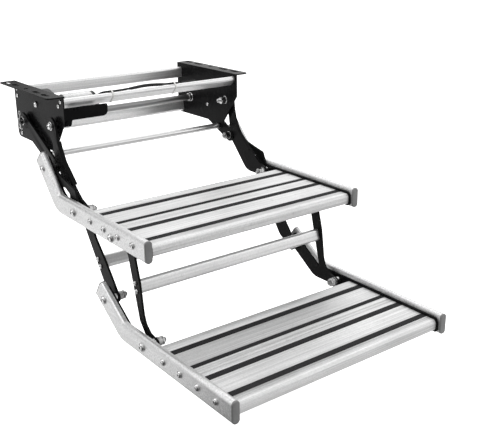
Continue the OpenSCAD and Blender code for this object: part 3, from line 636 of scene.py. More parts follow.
    def prism(self, points: Sequence[Point], x0: float, x1: float) -> None:
        """Side-view outline pulled from x0 to x1.

        Args:
            points: Outline as (y, z).
            x0: One end.
            x1: Other end.
        """
        before = set(self.bm.verts)
        face = self.bm.faces.new([self.bm.verts.new((x0, y, z)) for y, z in points])
        made = bmesh.ops.extrude_face_region(self.bm, geom=[face])["geom"]
        bmesh.ops.translate(self.bm, vec=(x1 - x0, 0, 0), verts=of_kind(made, Vert))
        self.seal(self.since(before))

    def mirror_across(self) -> None:
        """Add the mirror image on the other side of the step."""
        geom = self.bm.verts[:] + self.bm.edges[:] + self.bm.faces[:]
        made = bmesh.ops.duplicate(self.bm, geom=geom)["geom"]
        bmesh.ops.scale(self.bm, vec=(-1, 1, 1), verts=of_kind(made, Vert))
        bmesh.ops.reverse_faces(self.bm, faces=of_kind(made, Face))

    def finish(self, name: str, material: Material, angle: float) -> Piece:
        """Turn the mesh into an object, smooth between sharp edges.

        Args:
            name: Name of the piece.
            material: Finish.
            angle: Edges steeper than this many degrees stay sharp.

        Returns:
            The new object, linked to the scene.
        """
        bmesh.ops.scale(self.bm, vec=(MM, MM, MM), verts=self.bm.verts)
        mesh = bpy.data.meshes.new(name)
        self.bm.to_mesh(mesh)
        self.bm.free()
        mesh.shade_smooth()
        mesh.set_sharp_from_angle(angle=math.radians(angle))
        mesh.materials.append(material)
        piece = bpy.data.objects.new(name, mesh)
        bpy.context.scene.collection.objects.link(piece)
        return piece


def on_axis(at: Point) -> Matrix:
    """Frame whose X axis runs across the step through a side-view point."""
    return Matrix.Translation((0.0, at[0], at[1]))


def pointing(place: Sequence[float], way: Sequence[float]) -> Matrix:
    """Frame at a place whose X axis points a given way."""
    turn = Vector((1.0, 0.0, 0.0)).rotation_difference(Vector(way))
    return Matrix.Translation(place) @ turn.to_matrix().to_4x4()


def smooth_path(points: Sequence[Vector], parts: int) -> list[Vector]:
    """Points of a smooth curve through the given ones.

    Args:
        points: Points that it passes through.
        parts: Steps between two of them.

    Returns:
        The finer points.
    """
    made = []
    last = len(points) - 1
    for k in range(last):
        a, b, c, d = points[max(k - 1, 0)], points[k], points[k + 1], points[min(k + 2, last)]
        for i in range(parts):
            t = i / parts
            made.append(0.5 * (2 * b + (c - a) * t + (2 * a - 5 * b + 4 * c - d) * t ** 2
                               + (3 * b - a - 3 * c + d) * t ** 3))
    return made + [points[last]]


@dataclass
class Bench:
    """Where finished meshes become pieces of the scene."""

    nodes: dict[str, Piece]  # CAD nodes by name
    palette: Palette  # Finishes

    def place(self, form: Form, name: str, coat: Coat, stands_for: str = "", body: str = "",
              angle: float = 34.0) -> Piece:
        """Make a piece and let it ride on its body.

        Args:
            form: Mesh that is used up.
            name: Name of the piece.
            coat: Finish and slot.
            stands_for: CAD node that it replaces, if any.
            body: Body that it rides on; the node's own where left out.
            angle: Edges steeper than this many degrees stay sharp.

        Returns:
            The piece.
        """
        piece = form.finish(name, coat.material, angle)
        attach(piece, body or self.nodes[stands_for]["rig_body"])
        if stands_for:
            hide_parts(stands_for)
        LOG.info("%s: %d faces", name, len(piece.data.polygons))
        return piece

    def dress(self, coat: Coat, edge: float, *nodes: str) -> None:
        """Replace CAD nodes by copies with rounded edges and a finish.

        Args:
            coat: Finish and slot.
            edge: Edge rounding in millimetres; 0 for none.
            nodes: CAD nodes.
        """
        for node in nodes:
            piece = self.place(Form.of_node(self.nodes[node]), f"{node}_dressed", coat, node)
            if edge > 0:
                self.soften(piece, edge)

    @staticmethod
    def soften(piece: Piece, edge: float) -> None:
        """Round a piece's sharp edges by a modifier.

        Args:
            piece: Piece to round.
            edge: Rounding in millimetres.
        """
        rounding = piece.modifiers.new("edge", "BEVEL")
        rounding.width = edge * MM
        rounding.segments = 2
        rounding.limit_method = "ANGLE"
        rounding.angle_limit = math.radians(40)
        rounding.use_clamp_overlap = True
        rounding.harden_normals = True


@dataclass
class SheetSteel:
    """Black brackets of the frame, the drive arms and the plates inside the rails."""

    edge: float = 0.6  # Rounding of the sheared edges
    roll: float = 4.4  # Radius of the levers' rolled front edge
    roll_from: float = 42.0  # Where the roll starts, along the lever from its top pivot
    roll_to: float = 150.0  # Where it ends
    ahead: float = -20.0  # Least distance ahead of the lever's middle line at which an edge is rolled

    def build(self, bench: Bench) -> None:
        """Dress the brackets and roll the levers' front edges.

        Args:
            bench: Where pieces are made.
        """
        black = bench.palette.black
        bench.dress(black, self.edge, "left_side_plate", "right_side_plate", "motor_cover",
                    "left_drive_arm", "right_drive_arm", "left_front_link", "right_front_link",
                    "upper_side_plates", "lower_side_plates")
        for node in ("left_lever", "right_lever"):
            form = Form.of_node(bench.nodes[node])
            rim = [e for e in form.bm.edges if all(self.on_front_edge(v.co) for v in e.verts)]
            form.bevel(rim, self.roll, segments=6)
            bench.soften(bench.place(form, f"{node}_rolled", black, node), self.edge)

    def on_front_edge(self, p: Vector) -> bool:
        """Whether a point lies on the stretch of outer front edge that is rolled.

        Args:
            p: Point of a lever.

        Returns:
            True on that stretch.
        """
        way = (Vector(UPPER_PIVOT) - Vector(LEVER_PIVOT)).normalized()
        off = Vector((p.y, p.z)) - Vector(LEVER_PIVOT)
        outside = abs(abs(p.x) - ARM_OUT) < 0.05
        in_front = off.dot(Vector((way.y, -way.x))) > self.ahead
        return outside and in_front and self.roll_from < off.dot(way) < self.roll_to


@dataclass
class BentRail:
    """Flat-oval rail tube with one bend, its caps and its place."""

    step: str  # Step that it belongs to, as its nodes are named
    bend: Point  # Where the axes of the two legs meet, in the side view
    angle: float  # Angle of the rear leg in degrees
    leg: float  # Length of the rear leg from there
    front: float  # Y of the front end
    height: float = 45.0  # Height of the section
    width: float = 16.0  # Width of the section
    corner: float = 7.4  # Corner radius of the section
    bend_r: float = 30.0  # Bend radius on the axis
    cap_t: float = 4.0  # Thickness of the front cap
    leg_cap_t: float = 3.0  # Thickness of the cap on the leg

    def section(self) -> list[Point]:
        """Rounded outline, with support points on its flats.

        Returns:
            Points as (x, z) round the middle.
        """
        r = self.corner
        flat = 0.4
        points: list[Point] = []
        for start, sx, sz in ((0, 1, 1), (90, -1, 1), (180, -1, -1), (270, 1, -1)):
            cx, cz = sx * (self.width / 2 - r), sz * (self.height / 2 - r)
            arc = [(cx + r * cosd(start + a), cz + r * sind(start + a)) for a in range(0, 91, 10)]
            points.append((arc[0][0] + flat * cosd(start - 90), arc[0][1] + flat * sind(start - 90)))
            points += arc
            points.append((arc[-1][0] + flat * cosd(start + 180), arc[-1][1] + flat * sind(start + 180)))
        return points

    def tube(self) -> Form:
        """Bent tube of the left side.

        Returns:
            The mesh.
        """
        form = Form()
        cut = self.bend_r * math.tan(math.radians(self.angle / 2))
        start = self.bend[0] - cut
        margin = 1.5
        way = Vector((0.0, cosd(self.angle), sind(self.angle)))
        ring = form.ring([(x - RAIL_MID, self.front, self.bend[1] + z) for x, z in self.section()])
        ring = form.pull(ring, (0.0, start - self.front - margin, 0.0))
        ring = form.pull(ring, (0.0, margin, 0.0))
        turned = bmesh.ops.spin(
            form.bm, geom=ring, cent=(0.0, start, self.bend[1] + self.bend_r), axis=(1, 0, 0),
            angle=math.radians(self.angle), steps=18)
        ring = form.pull(of_kind(turned["geom_last"], Edge), way * margin)
        form.pull(ring, way * (self.leg - cut - margin))
        form.close(form.bm.verts)
        form.seal(form.bm.verts)
        return form

    def cap(self, form: Form, thick: float, frame: Matrix) -> None:
        """Add a moulded end cap: rounded rim, and a shallow raised middle.

        Args:
            form: Mesh that it goes into.
            thick: Thickness.
            frame: Its place; its outer face looks along -Y there.
        """
        before = set(form.bm.verts)
        ring = form.ring([(x, 0.0, z) for x, z in self.section()])
        rim = form.pull(ring, (0.0, -thick, 0.0))
        form.close(form.since(before))
        form.seal(form.since(before))
        form.bevel([e for e in rim if e.is_valid], offset=0.42 * thick, segments=4)
        faces = {f for v in form.since(before) for f in v.link_faces}
        face = min(faces, key=lambda f: f.calc_center_median().y)
        bmesh.ops.inset_region(form.bm, faces=[face], thickness=1.6, depth=0.25, use_even_offset=True)
        bmesh.ops.transform(form.bm, matrix=frame, verts=form.since(before))

    def build(self, bench: Bench) -> None:
        """Make both rails of a step and their caps.

        Args:
            bench: Where pieces are made.
        """
        for side in Side:
            form = self.tube()
            if side is Side.RIGHT:
                bmesh.ops.scale(form.bm, vec=(-1, 1, 1), verts=form.bm.verts)
                bmesh.ops.recalc_face_normals(form.bm, faces=form.bm.faces)
            node = f"{self.step}_{side.name.lower()}_rail"
            bench.place(form, f"{node}_tube", bench.palette.rail, node)
        caps = Form()
        self.cap(caps, self.cap_t, Matrix.Translation((-RAIL_MID, self.front, self.bend[1])))
        up = turned(self.angle, "X")
        out = Matrix.Translation((0.0, self.leg, 0.0)) @ turned(180.0, "Z")
        self.cap(caps, self.leg_cap_t, Matrix.Translation((-RAIL_MID, *self.bend)) @ up @ out)
        caps.mirror_across()
        node = f"{self.step}_end_caps"
        bench.place(caps, f"{node}_moulded", bench.palette.cap, node)


@dataclass
class Tread:
    """Extruded tread with four ridged grip strips."""

    step: str  # Step that it belongs to
    pivot: Point  # Pivot that its sizes are measured from
    top: float = 8.5  # Height of the tread over the pivot
    half: float = 254.6  # Half the length of a strip
    # Middle and width of each strip, measured ahead of the pivot
    strips: tuple[Point, ...] = ((71.0, 16.0), (139.0, 12.5), (188.5, 16.0), (257.0, 15.0))
    groove: float = 1.65  # Depth of the groove that a strip lies in
    proud: float = 0.9  # Height of a strip over the tread
    ridge: float = 0.75  # Height of its ridges
    ridge_w: float = 2.2  # Width of its ridges, about

    def strip(self, form: Form, middle: float, width: float) -> None:
        """Add one grip strip with rounded ridges along it.

        Args:
            form: Mesh that it goes into.
            middle: Its middle, ahead of the pivot.
            width: Its width.
        """
        play = 0.1
        parts = 6
        count = max(4, round(width / self.ridge_w))
        pitch = (width - 2 * play) / count
        start = middle - width / 2 + play
        valley = self.top + self.proud - self.ridge
        outline = [(start, self.top - self.groove)]
        for i in range(count):
            for j in range(1, parts):
                swell = math.sin(math.pi * j / parts)
                outline.append((start + (i + j / parts) * pitch, valley + self.ridge * swell))
        outline.append((start + count * pitch, self.top - self.groove))
        form.prism([(self.pivot[0] - u, self.pivot[1] + v) for u, v in outline], -self.half, self.half)

    def build(self, bench: Bench) -> None:
        """Dress the tread and lay in its strips.

        Args:
            bench: Where pieces are made.
        """
        bench.dress(bench.palette.tread, 0.0, f"{self.step}_tread")
        form = Form()
        for middle, width in self.strips:
            self.strip(form, middle, width)
        node = f"{self.step}_grip_strips"
        bench.place(form, f"{node}_ridged", bench.palette.rubber, node, angle=60.0)


@dataclass
class DomeBolt:
    """Button-head bolt with a hexagon socket, its head towards -X."""

    shank_d: float  # Shank diameter
    head_d: float  # Head diameter
    head_h: float  # Head height
    seat: float  # X of the face that the head sits on
    tip: float  # X of the shank's end

    def add(self, form: Form, frame: Matrix) -> None:
        """Add the bolt.

        Args:
            form: Mesh that it goes into.
            frame: Where its X axis lies.
        """
        head_r = self.head_d / 2
        shank_r = self.shank_d / 2
        socket = 0.36 * head_r
        rim = 0.28 * self.head_h
        dome = self.head_h - rim
        top = self.seat - self.head_h
        floor = top + 0.5 * self.head_h
        profile = [(floor, 0.0), (floor, socket), (top + 0.12, socket), (top, 1.12 * socket + 0.1)]
        for a in (60.0, 48.0, 36.0, 24.0, 12.0, 0.0):
            lift = dome * sind(a) / sind(66)
            profile.append((self.seat - rim - min(lift, dome), head_r * cosd(a)))
        profile += [(self.seat - 0.2, head_r), (self.seat, head_r - 0.2), (self.seat, shank_r)]
        profile += [(self.tip - 0.5, shank_r), (self.tip, shank_r - 0.5), (self.tip, 0.0)]
        form.lathe(profile, frame, socket=socket)


@dataclass
class Collar:
    """Washer or spacer with broken edges."""

    d: float  # Diameter
    x0: float  # One end
    x1: float  # Other end
    bore: float = 9.0  # Bore diameter
    edge: float = 0.35  # Width of its broken edges

    def add(self, form: Form, frame: Matrix) -> None:
        """Add the collar.

        Args:
            form: Mesh that it goes into.
            frame: Where its X axis lies.
        """
        r, hole, edge = self.d / 2, self.bore / 2, self.edge
        form.lathe([(self.x0, hole), (self.x0, r - edge), (self.x0 + edge, r), (self.x1 - edge, r),
                    (self.x1, r - edge), (self.x1, hole), (self.x0, hole)], frame, steps=28)


@dataclass
class NutStack:
    """Washer, nut and lock nut on an arm's inner side, and the bolt's threaded end."""

    x: float  # Face that the washer lies on
    d: float = 10.0  # Bolt diameter
    start: float = 0.0  # Where the bolt comes from
    reach: float = 20.5  # How far its end stands off the face
    across: float = 16.0  # Width of the nuts over their flats

    def add(self, form: Form, frame: Matrix) -> None:
        """Add the stack.

        Args:
            form: Mesh that it goes into.
            frame: Where its X axis lies.
        """
        x, r, tip = self.x, self.d / 2, self.x + self.reach
        washer, nut, gap, lock_nut = x + 2.0, x + 10.0, x + 10.6, x + 15.0
        Collar(20.0, x, washer).add(form, frame)
        form.nut(frame, self.across, washer, nut)
        form.nut(frame, self.across, gap, lock_nut)
        Collar(14.0, nut, gap).add(form, frame)
        back = min(self.start, x) if self.start else x
        core = 0.86 * r
        end = [(back, 0.0), (back, core), (tip - 1.0, core), (tip, 0.62 * r), (tip, 0.0)]
        form.lathe(end, frame, steps=18)
        form.thread(frame, r, x + 14.0, tip - 0.4)


Fitting = Union[DomeBolt, Collar, NutStack]


def both_sides(points: Sequence[Point], *fittings: Fitting) -> Form:
    """Fittings at side-view points of the left side, and their mirror images.

    Args:
        points: Where they sit.
        fittings: What sits at each point.

    Returns:
        The mesh.
    """
    made = Form()
    for at in points:
        for fitting in fittings:
            fitting.add(made, on_axis(at))
    made.mirror_across()
    return made


def tube_ends(centre: Point, tilt: float) -> list[Point]:
    """Places of the two screws in a flat-oval tube's end."""
    reach = Vector((cosd(tilt), sind(tilt))) * SCREW_PITCH / 2
    return [tuple(Vector(centre) - reach), tuple(Vector(centre) + reach)]


def tread_points(pivot: Point) -> list[Point]:
    """Places of the four screws that hold a tread between its rails."""
    first, pitch, rise = 77.9, 57.7, 1.2
    return [(pivot[0] - first - i * pitch, pivot[1] + rise) for i in range(4)]


class Hardware:
    """Every fastener of the step."""

    REAR_TOP = ((109.4, -25.4), 90.0)
    REAR_LOWER = ((104.1, -116.4), 76.8)
    LEVER_TUBE = ((-290.5, -336.0), 50.9)
    LINK_TUBE = ((-446.5, -339.0), 73.7)
    PLATE_SCREW = (-17.5, -95.0)
    CASE_BOLT = (1.0, -39.0)

    def bolts(self) -> list[tuple[str, Sequence[Point], Sequence[Fitting]]]:
        """Bolts and screws that are alike on both sides.

        Returns:
            CAD node, side-view points and what sits at each of them.
        """
        short = -ARM_OUT - 0.4
        on_rail = Collar(18.0, -STEP_IN, short)
        pivot = (DomeBolt(10.0, 18.0, 6.0, -RAIL_OUT, -ARM_IN + 1.0), on_rail)
        rear = (DomeBolt(10.0, 16.0, 5.0, -RAIL_OUT, short), on_rail)
        front = (DomeBolt(10.0, 18.0, 6.0, -RAIL_OUT, short), on_rail)
        tread_screw = (DomeBolt(5.0, 14.0, 4.5, -RAIL_OUT, -STEP_IN + 20.0),)
        arm_screw = (DomeBolt(4.2, 11.0, 4.0, -ARM_OUT, -ARM_OUT + 20.0),)
        seat = -ARM_OUT - 0.3
        head = seat - 2.0
        lever = (Collar(20.0, head, seat), DomeBolt(10.0, 16.0, 6.0, head, -PLATE_IN + 1.0),
                 Collar(17.0, -ARM_IN + 0.3, -PLATE_OUT), NutStack(-PLATE_IN, reach=25.0))
        return [
            ("lever_pivot_bolts", [LEVER_PIVOT], lever),
            ("upper_pivot_bolts", [UPPER_PIVOT], pivot),
            ("link_pivot_bolts", [LINK_PIVOT], pivot),
            ("lower_pivot_bolts", [LOWER_PIVOT], pivot),
            ("upper_rear_bolts", [REAR_PIVOT], rear),
            ("lower_front_bolts", [FRONT_PIVOT], front),
            ("lever_tube_screws", tube_ends(*self.LEVER_TUBE), arm_screw),
            ("front_link_screws", tube_ends(*self.LINK_TUBE), arm_screw),
            ("upper_tread_screws", tread_points(UPPER_PIVOT), tread_screw),
            ("lower_tread_screws", tread_points(FRONT_PIVOT), tread_screw)]

    def frame_screws(self) -> Form:
        """Screws of the frame's tubes, and the one that fills the spare hole.

        Returns:
            The mesh.
        """
        points = tube_ends(*FRONT_TOP) + tube_ends(*self.REAR_TOP) + tube_ends(*self.REAR_LOWER)
        form = both_sides(points, DomeBolt(4.2, 10.0, 2.4, -PLATE_OUT, -PLATE_OUT + 20.0))
        DomeBolt(5.0, 9.0, 2.4, PLATE_IN, PLATE_OUT).add(form, on_axis(self.PLATE_SCREW))
        return form

    def gearbox_screws(self) -> Form:
        """Bolt through the left plate, and the screws of the gearbox cover.

        Returns:
            The mesh.
        """
        form = Form()
        DomeBolt(8.0, 15.0, 5.0, -PLATE_OUT, -PLATE_IN + 2.3).add(form, on_axis(self.CASE_BOLT))
        cover = -PLATE_IN + 23.1
        screw = DomeBolt(3.3, 6.5, 2.4, 0.0, 13.0)
        for middle, reach, turns in ((MOTOR_AXIS, 23.0, (100, 230)), (SHAFT_AXIS, 39.5, (60, 290))):
            for turn in turns:
                at = (cover, middle[0] + reach * cosd(turn), middle[1] + reach * sind(turn))
                screw.add(form, pointing(at, (-1.0, 0.0, 0.0)))
        return form

    def cover_screws(self) -> Form:
        """Two small screws and a hexagon bolt in the motor cover.

        Returns:
            The mesh.
        """
        form = Form()
        front = -136.0
        back = (0.0, 1.0, 0.0)
        for x in (-203.6, -195.5):
            DomeBolt(4.0, 6.5, 2.4, 0.0, 8.0).add(form, pointing((x, front, -33.0), back))
        hexagon = pointing((-224.0, front, -62.0), back)
        form.nut(hexagon, 10.0, -5.0, 0.0)
        form.lathe([(-6.0, 0.0), (-6.0, 2.3), (-5.5, 2.8), (8.0, 2.8), (8.0, 0.0)], hexagon, steps=18)
        return form

    def split_pins(self) -> Form:
        """Split pins through the castle nuts, with an eye on top and legs bent apart.

        Returns:
            The mesh.
        """
        form = Form()
        x, wire_r = -ARM_OUT - 7.0, 0.8
        half = [(0.0, 25.0), (2.8, 24.0), (4.3, 21.0), (3.4, 18.0), (0.85, 14.5), (0.85, 4.0),
                (0.85, -6.0), (0.85, -14.5), (2.6, -18.2), (6.0, -18.4), (8.2, -15.0)]
        route = [(-y, z) for y, z in reversed(half[1:])] + half
        path = smooth_path([Vector((x, SHAFT_AXIS[0] + y, SHAFT_AXIS[1] + z)) for y, z in route], parts=3)
        form.sweep(path, [wire_r] * len(path), sides=10)
        form.mirror_across()
        return form

    def build(self, bench: Bench) -> None:
        """Make every fastener.

        Args:
            bench: Where pieces are made.
        """
        zinc, nut = bench.palette.zinc, bench.palette.nut
        for node, points, fittings in self.bolts():
            bench.place(both_sides(points, *fittings), f"{node}_turned", zinc, node)
        # Nuts on the arms' inner sides take the darker zinc copy, as painted shade for the shadow they sit
        # in
        on_arm = NutStack(-ARM_IN, start=-ARM_OUT + 0.2)
        for node, at in (("drive_arm_nuts", REAR_PIVOT), ("front_link_nuts", FRONT_PIVOT)):
            bench.place(both_sides([at], on_arm), f"{node}_turned", nut, node)
        on_pivot = NutStack(-ARM_IN + 0.3)
        for node, at in (("upper_pivot_bolts", UPPER_PIVOT), ("link_pivot_bolts", LINK_PIVOT),
                         ("lower_pivot_bolts", LOWER_PIVOT)):
            body = bench.nodes[node]["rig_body"]
            bench.place(both_sides([at], on_pivot), f"{node}_nuts", nut, body=body)
        bench.place(self.frame_screws(), "frame_tube_screws_turned", zinc, "frame_tube_screws")
        bench.place(self.gearbox_screws(), "gearbox_bolts_turned", zinc, "gearbox_bolts")
        bench.place(
            self.cover_screws(), "motor_cover_screws_turned", bench.palette.black, "motor_cover_screws")
        bench.place(self.split_pins(), "shaft_split_pins_bent", zinc, "shaft_split_pins", angle=60.0)
        bench.dress(zinc, 0.35, "tie_rod_screws", "shaft_castle_nuts", "idler_axle")


@dataclass
class Drive:
    """Motor, gearbox, shaft and tie rod."""

    radius: float = 28.0  # Motor radius
    face: float = -208.7  # X of the motor's face on the gearbox cover
    shoulder: float = -204.7  # X where the full diameter starts
    rear: float = -135.7  # X of the motor's rear end
    cap_end: float = -123.7  # X of the end cap's outer face

    def can(self) -> Form:
        """Drawn steel can with a rolled bead and four crimps at its rear end.

        Returns:
            The mesh.
        """
        form = Form()
        r, f, a, b = self.radius, self.face, self.shoulder, self.rear
        bead = r - 0.7
        form.lathe([
            (a + 10.0, 0.0), (a + 10.0, 4.1), (f, 4.1), (f, 16.4), (f + 0.6, 17.0), (a, 17.0),
            (a, r - 2.4), (a + 0.7, bead), (a + 2.4, r), (a + 14.0, r), (a + 15.0, bead),
            (a + 18.0, bead), (a + 19.0, r), (b - 10.0, r), (b - 5.0, r), (b - 0.6, r), (b, r - 0.6),
            (b, 0.0)], on_axis(MOTOR_AXIS), steps=48)
        crimps = [f for f in form.bm.faces if self.is_crimp(f.calc_center_median())]
        bmesh.ops.inset_individual(form.bm, faces=crimps, thickness=0.5, depth=-0.9)
        return form

    def is_crimp(self, p: Vector) -> bool:
        """Whether a point of the can's skin lies in one of its crimps."""
        turn = math.degrees(math.atan2(p.z - MOTOR_AXIS[1], p.y - MOTOR_AXIS[0])) % 90.0
        return self.rear - 10.0 < p.x < self.rear - 5.0 and 37.0 < turn < 45.0

    def end_cap(self) -> Form:
        """Moulded cap with a bearing boss, ribs and the lead's boot.

        Returns:
            The mesh.
        """
        form = Form()
        a, b = self.rear, self.cap_end
        form.lathe([
            (a, 0.0), (a, 27.1), (a + 0.4, 27.5), (b - 4.0, 27.5), (b - 3.0, 26.8), (b - 3.0, 24.6),
            (b - 1.0, 24.0), (b, 22.8), (b, 11.0), (b - 1.4, 10.4), (b - 1.4, 8.6), (b, 8.0), (b, 3.0),
            (b - 0.8, 2.6), (b - 0.8, 0.0)], on_axis(MOTOR_AXIS), steps=48)
        boot = [(25.0, 0.0), (25.0, 4.8), (28.6, 4.8), (29.2, 4.2)]
        for k in range(4):
            x, r = 30.2 + 2.4 * k, 4.3 - 0.3 * k
            boot += [(x, r - 0.5), (x + 0.3, r), (x + 1.4, r), (x + 1.7, r - 0.5)]
        boot += [(40.2, 2.9), (40.2, 0.0)]
        out = (0.0, cosd(LEAD_TURN), sind(LEAD_TURN))
        form.lathe(boot, pointing((LEAD_X, *MOTOR_AXIS), out), steps=20)
        return form

    def build(self, bench: Bench) -> None:
        """Make the motor and dress the rest of the drive.

        Args:
            bench: Where pieces are made.
        """
        palette = bench.palette
        bench.place(self.can(), "motor_can_drawn", palette.can, "motor_can")
        bench.place(self.end_cap(), "motor_end_cap_moulded", palette.plastic, "motor_end_cap")
        bench.dress(palette.plastic, 0.8, "gearbox_case", "gearbox_cover", "shaft_bushes")
        bench.dress(palette.shaft, 0.8, "drive_shaft")
        bench.dress(palette.rod, 0.8, "drive_tie_rod")
        bench.dress(palette.zinc, 0.2, "drive_gear", "motor_pinion", "idler_gear")


@dataclass
class Wiring:
    """Motor lead along the front tube, with its plug and ties."""

    diameter: float = 5.0  # Diameter of the lead
    sleeve_from: float = -62.0  # X where the sleeve starts
    sleeve_to: float = 34.0  # X where it ends
    ties: Point = (-108.0, 59.0)  # X of the cable ties

    def route(self) -> list[Vector]:
        """Middle of the lead, from the motor to the plug.

        Returns:
            Points of a smooth curve.
        """
        out = Vector((0.0, cosd(LEAD_TURN), sind(LEAD_TURN)))
        axis = Vector((LEAD_X, *MOTOR_AXIS))
        points = [axis + 22.0 * out, axis + 34.0 * out]
        points += [Vector(p) for p in (
            (-129.0, -112.0, -10.5), (-124.5, -121.5, -6.6), (-117.0, -127.2, -5.1), (-108.0, -129.0, -5.0),
            (-90.0, -129.0, -5.0), (-55.0, -126.5, -4.5), (-10.0, -119.0, -4.0), (28.0, -126.5, -4.6),
            (55.0, -129.0, -5.0), (63.0, -129.0, -5.0), (74.0, -125.0, -7.0), (84.0, -119.5, -11.5),
            (92.0, -117.63, -12.47))]
        return smooth_path(points, parts=6)

    def sleeve(self, path: Sequence[Vector]) -> Form:
        """Shrunk sleeve over the middle of the lead.

        Args:
            path: Middle of the lead.

        Returns:
            The mesh.
        """
        form = Form()
        thin, swell = 2.7, 1.2
        part = [p for p in path if self.sleeve_from < p.x < self.sleeve_to]
        last = len(part) - 1
        radii = [thin + swell * math.sqrt(abs(math.sin(math.pi * k / last))) for k in range(len(part))]
        form.sweep(part, radii, sides=14)
        return form

    def heads(self) -> Form:
        """Locking heads and cut tails of the ties, on the tube's rear side.

        Returns:
            The mesh.
        """
        form = Form()
        rear_face, tail_r = 7.4, 1.1
        middle, tilt = FRONT_TOP
        normal = Vector((0.0, cosd(tilt + 90), sind(tilt + 90)))
        seat = Vector((0.0, *middle)) + rear_face * normal
        size = Matrix.Translation((1.8, 0.0, 0.0)) @ Matrix.Diagonal((4.0, 6.6, 5.6, 1.0))
        for x in self.ties:
            before = set(form.bm.verts)
            place = pointing(seat + Vector((x, 0.0, 0.0)), normal)
            bmesh.ops.create_cube(form.bm, size=1.0, matrix=place @ size)
            form.bevel({e for v in form.since(before) for e in v.link_edges}, offset=0.9, segments=3)
            bends = ((1.6, 0.0, 0.0), (5.0, 0.4, 0.0), (8.0, 1.8, 0.3))
            tail = smooth_path([place @ Vector(p) for p in bends], parts=4)
            form.sweep(tail, [tail_r] * len(tail), sides=8)
        return form

    def build(self, bench: Bench) -> None:
        """Make the lead, its plug and its ties.

        Args:
            bench: Where pieces are made.
        """
        plastic, nylon = bench.palette.plastic, bench.palette.nylon
        path = self.route()
        form = Form()
        form.sweep(path, [self.diameter / 2] * len(path), sides=14)
        lead = bench.place(form, "motor_lead_round", plastic, "motor_lead", angle=60.0)
        sleeve = bench.place(self.sleeve(path), "lead_sleeve", plastic, body="frame", angle=60.0)
        bench.dress(plastic, 0.7, "lead_plug")
        bench.dress(nylon, 0.25, "cable_ties")
        bench.place(self.heads(), "cable_tie_heads", nylon, body="frame")
        length = sum((b - a).length for a, b in zip(path, path[1:]))
        path[0] * MM
        [p * MM for p in path]


class CrossTubes:
    """Flat-oval tubes that tie the two sides together."""

    def build(self, bench: Bench) -> None:
        """Dress the tubes."""
        bench.dress(bench.palette.tube, 0.0, "front_top_tube", "rear_top_tube", "rear_lower_tube",
                    "lever_cross_tube", "front_link_tube")


@dataclass(frozen=True)
class Lamp:
    """One soft area light."""

    name: str  # Name of the light
    place: Sequence[float]  # Position in metres
    aim: Sequence[float]  # Point it faces
    size: float  # Edge length in metres
    power: float  # Power in watts

    def build(self) -> None:
        """Make the light."""
        data = bpy.data.lights.new(self.name, "AREA")
        data.size = self.size
        data.energy = self.power
        lamp = bpy.data.objects.new(self.name, data)
        away = Vector(self.place) - Vector(self.aim)
        turn = away.to_track_quat("Z", "Y").to_matrix().to_4x4()
        lamp.matrix_world = Matrix.Translation(self.place) @ turn
        bpy.context.scene.collection.objects.link(lamp)


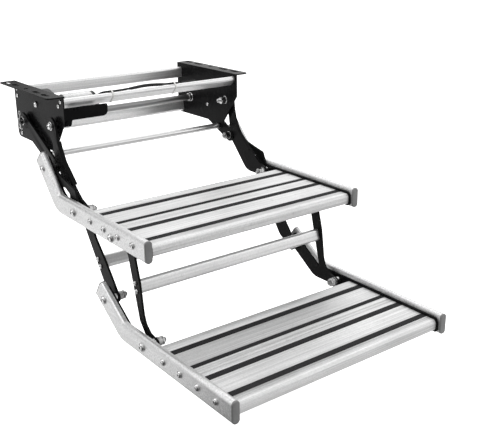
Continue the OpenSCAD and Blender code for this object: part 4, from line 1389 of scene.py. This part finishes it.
@dataclass
class Studio:
    """Floor, light and camera."""

    floor_z: float = -0.66  # Height of the floor in metres
    floor_size: float = 40.0  # Half its width in metres
    eye: tuple[float, float, float] = (-0.9646, -1.7622, 0.3291)  # Camera position in metres
    azimuth: float = -37.25  # Direction the camera looks from, in degrees
    elevation: float = 19.12  # Height of the view in degrees
    roll: float = -0.41  # Roll of the camera in degrees
    focal_px: float = 807.3  # Focal length in pixels of the photograph's frame
    width_px: float = 495.0  # Width of that frame
    lamps: tuple[Lamp, ...] = (  # Lights beside the room's own light
        Lamp("key", (-1.5, -0.6, 2.3), (0.0, -0.35, -0.25), size=0.5, power=7.0),
        Lamp("back", (0.7, 2.2, 1.7), (0.0, -0.3, -0.2), size=2.4, power=8.0),
        Lamp("front", (1.7, -2.3, 0.9), (0.0, -0.4, -0.3), size=1.6, power=9.0),
        Lamp("left", (-2.0, 0.8, 0.35), (-0.3, -0.5, -0.3), size=0.8, power=6.0))

    def build(self) -> None:
        """Make the camera, the floor and the lights."""
        self.camera()
        self.floor()
        self.world()
        for lamp in self.lamps:
            lamp.build()

    def camera(self) -> None:
        """Make the camera from its angles and focal length."""
        turn = turned(self.azimuth, "Z") @ turned(90.0 - self.elevation, "X") @ turned(self.roll, "Z")
        data = bpy.data.cameras.new("camera")
        data.sensor_fit = "HORIZONTAL"
        data.sensor_width = 36.0
        data.lens = self.focal_px / self.width_px * data.sensor_width
        data.clip_end = 200.0
        eye = bpy.data.objects.new("camera", data)
        eye.matrix_world = Matrix.Translation(self.eye) @ turn
        bpy.context.scene.collection.objects.link(eye)
        bpy.context.scene.camera = eye

    def floor(self) -> None:
        """Make the pale floor, with painted shade that only reflections see: darker ahead of the part and
        near black at its front left.
        """
        form = Form()
        bmesh.ops.create_grid(form.bm, x_segments=1, y_segments=1, size=self.floor_size / MM)
        bmesh.ops.translate(form.bm, verts=form.bm.verts, vec=(0.0, 0.0, self.floor_z / MM))
        g = Paint("pale_floor")
        seen = g.node("ShaderNodeLightPath", {}, {}, "Is Camera Ray")
        x, y, _ = g.axes()
        pale = grey(0.95)
        # Painted shade, seen only in reflections: grey ahead of the part for its shadow, near black at its
        # front left
        middle = g.mix(g.ramp(y, -0.9, 0.9), grey(0.70), pale)
        beside = g.mix(g.ramp(y, -0.58, -0.28), grey(0.08), pale)
        g.set("Base Color", g.mix(seen, g.mix(g.ramp(x, -0.36, -0.24), beside, middle), pale))
        g.set("Roughness", 0.9)
        g.set("Specular IOR Level", 0.1)
        g.set("Emission Color", (1.0, 1.0, 1.0))
        g.set("Emission Strength", 0.75 * seen)
        form.finish("floor", g.material, 30.0)

    def world(self) -> None:
        """Light the scene from a white room, darker on the viewer's side and low at the back left."""
        walls, ceiling, ceiling_back, back_wall, front_wall, shade = 0.36, 0.40, 0.52, 0.43, 0.40, 0.28
        world = bpy.data.worlds.new("studio")
        bpy.context.scene.world = world
        world.use_nodes = True
        g = Graph(world.node_tree, "Generated")
        x, y, z = g.axes()
        above = g.ramp(z, 0.30, 0.60) * (ceiling + ceiling_back * g.ramp(y, -0.4, 0.4))
        right = g.ramp(0.93 * x - 0.37 * y, 0.0, 0.07)
        back = g.ramp(y, -0.2, 0.5)
        dim = g.ramp(y, 0.2, 0.6) * (1.0 - right) * (1.0 - g.ramp(z, 0.15, 0.35))
        front = g.ramp(0.57 * x - 0.82 * y, 0.55, 0.95)
        strength = walls + above + back_wall * right * back + front_wall * front - shade * dim
        light = g.node("ShaderNodeBackground", {}, {"Color": (1.0, 1.0, 1.0), "Strength": strength})
        output = g.tree.nodes.new("ShaderNodeOutputWorld")
        g.tree.links.new(light.socket, output.inputs["Surface"])
        bpy.context.scene.view_settings.view_transform = "Standard"


def write_sizes() -> None:
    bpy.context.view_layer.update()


def steps() -> list[Union[BentRail, Tread]]:
    """Rails and treads of the two steps.

    Returns:
        Rails and tread of each step.
    """
    reach, past_pivot = 296.0, 29.0
    made: list[Union[BentRail, Tread]] = []
    for step, pivot, high, angle in (
            ("upper", UPPER_PIVOT, REAR_PIVOT, 47.0), ("lower", FRONT_PIVOT, LOWER_PIVOT, 33.5)):
        rise = high[1] - pivot[1]
        bend = (high[0] - rise / math.tan(math.radians(angle)), pivot[1])
        leg = rise / sind(angle) + past_pivot
        made.append(BentRail(step, bend, angle, leg, pivot[0] - reach))
        made.append(Tread(step, pivot))
    return made


def main() -> None:
    """Build the scene."""
    logging.basicConfig(level=logging.INFO)
    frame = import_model()
    Studio().build()
    bench = Bench(frame["nodes"], Palette())
    for assembly in (Wiring(), SheetSteel(), CrossTubes(), *steps(), Drive(), Hardware()):
        assembly.build(bench)
        LOG.info("built %s", type(assembly).__name__)
    write_sizes()


if __name__ == "__main__":
    main()
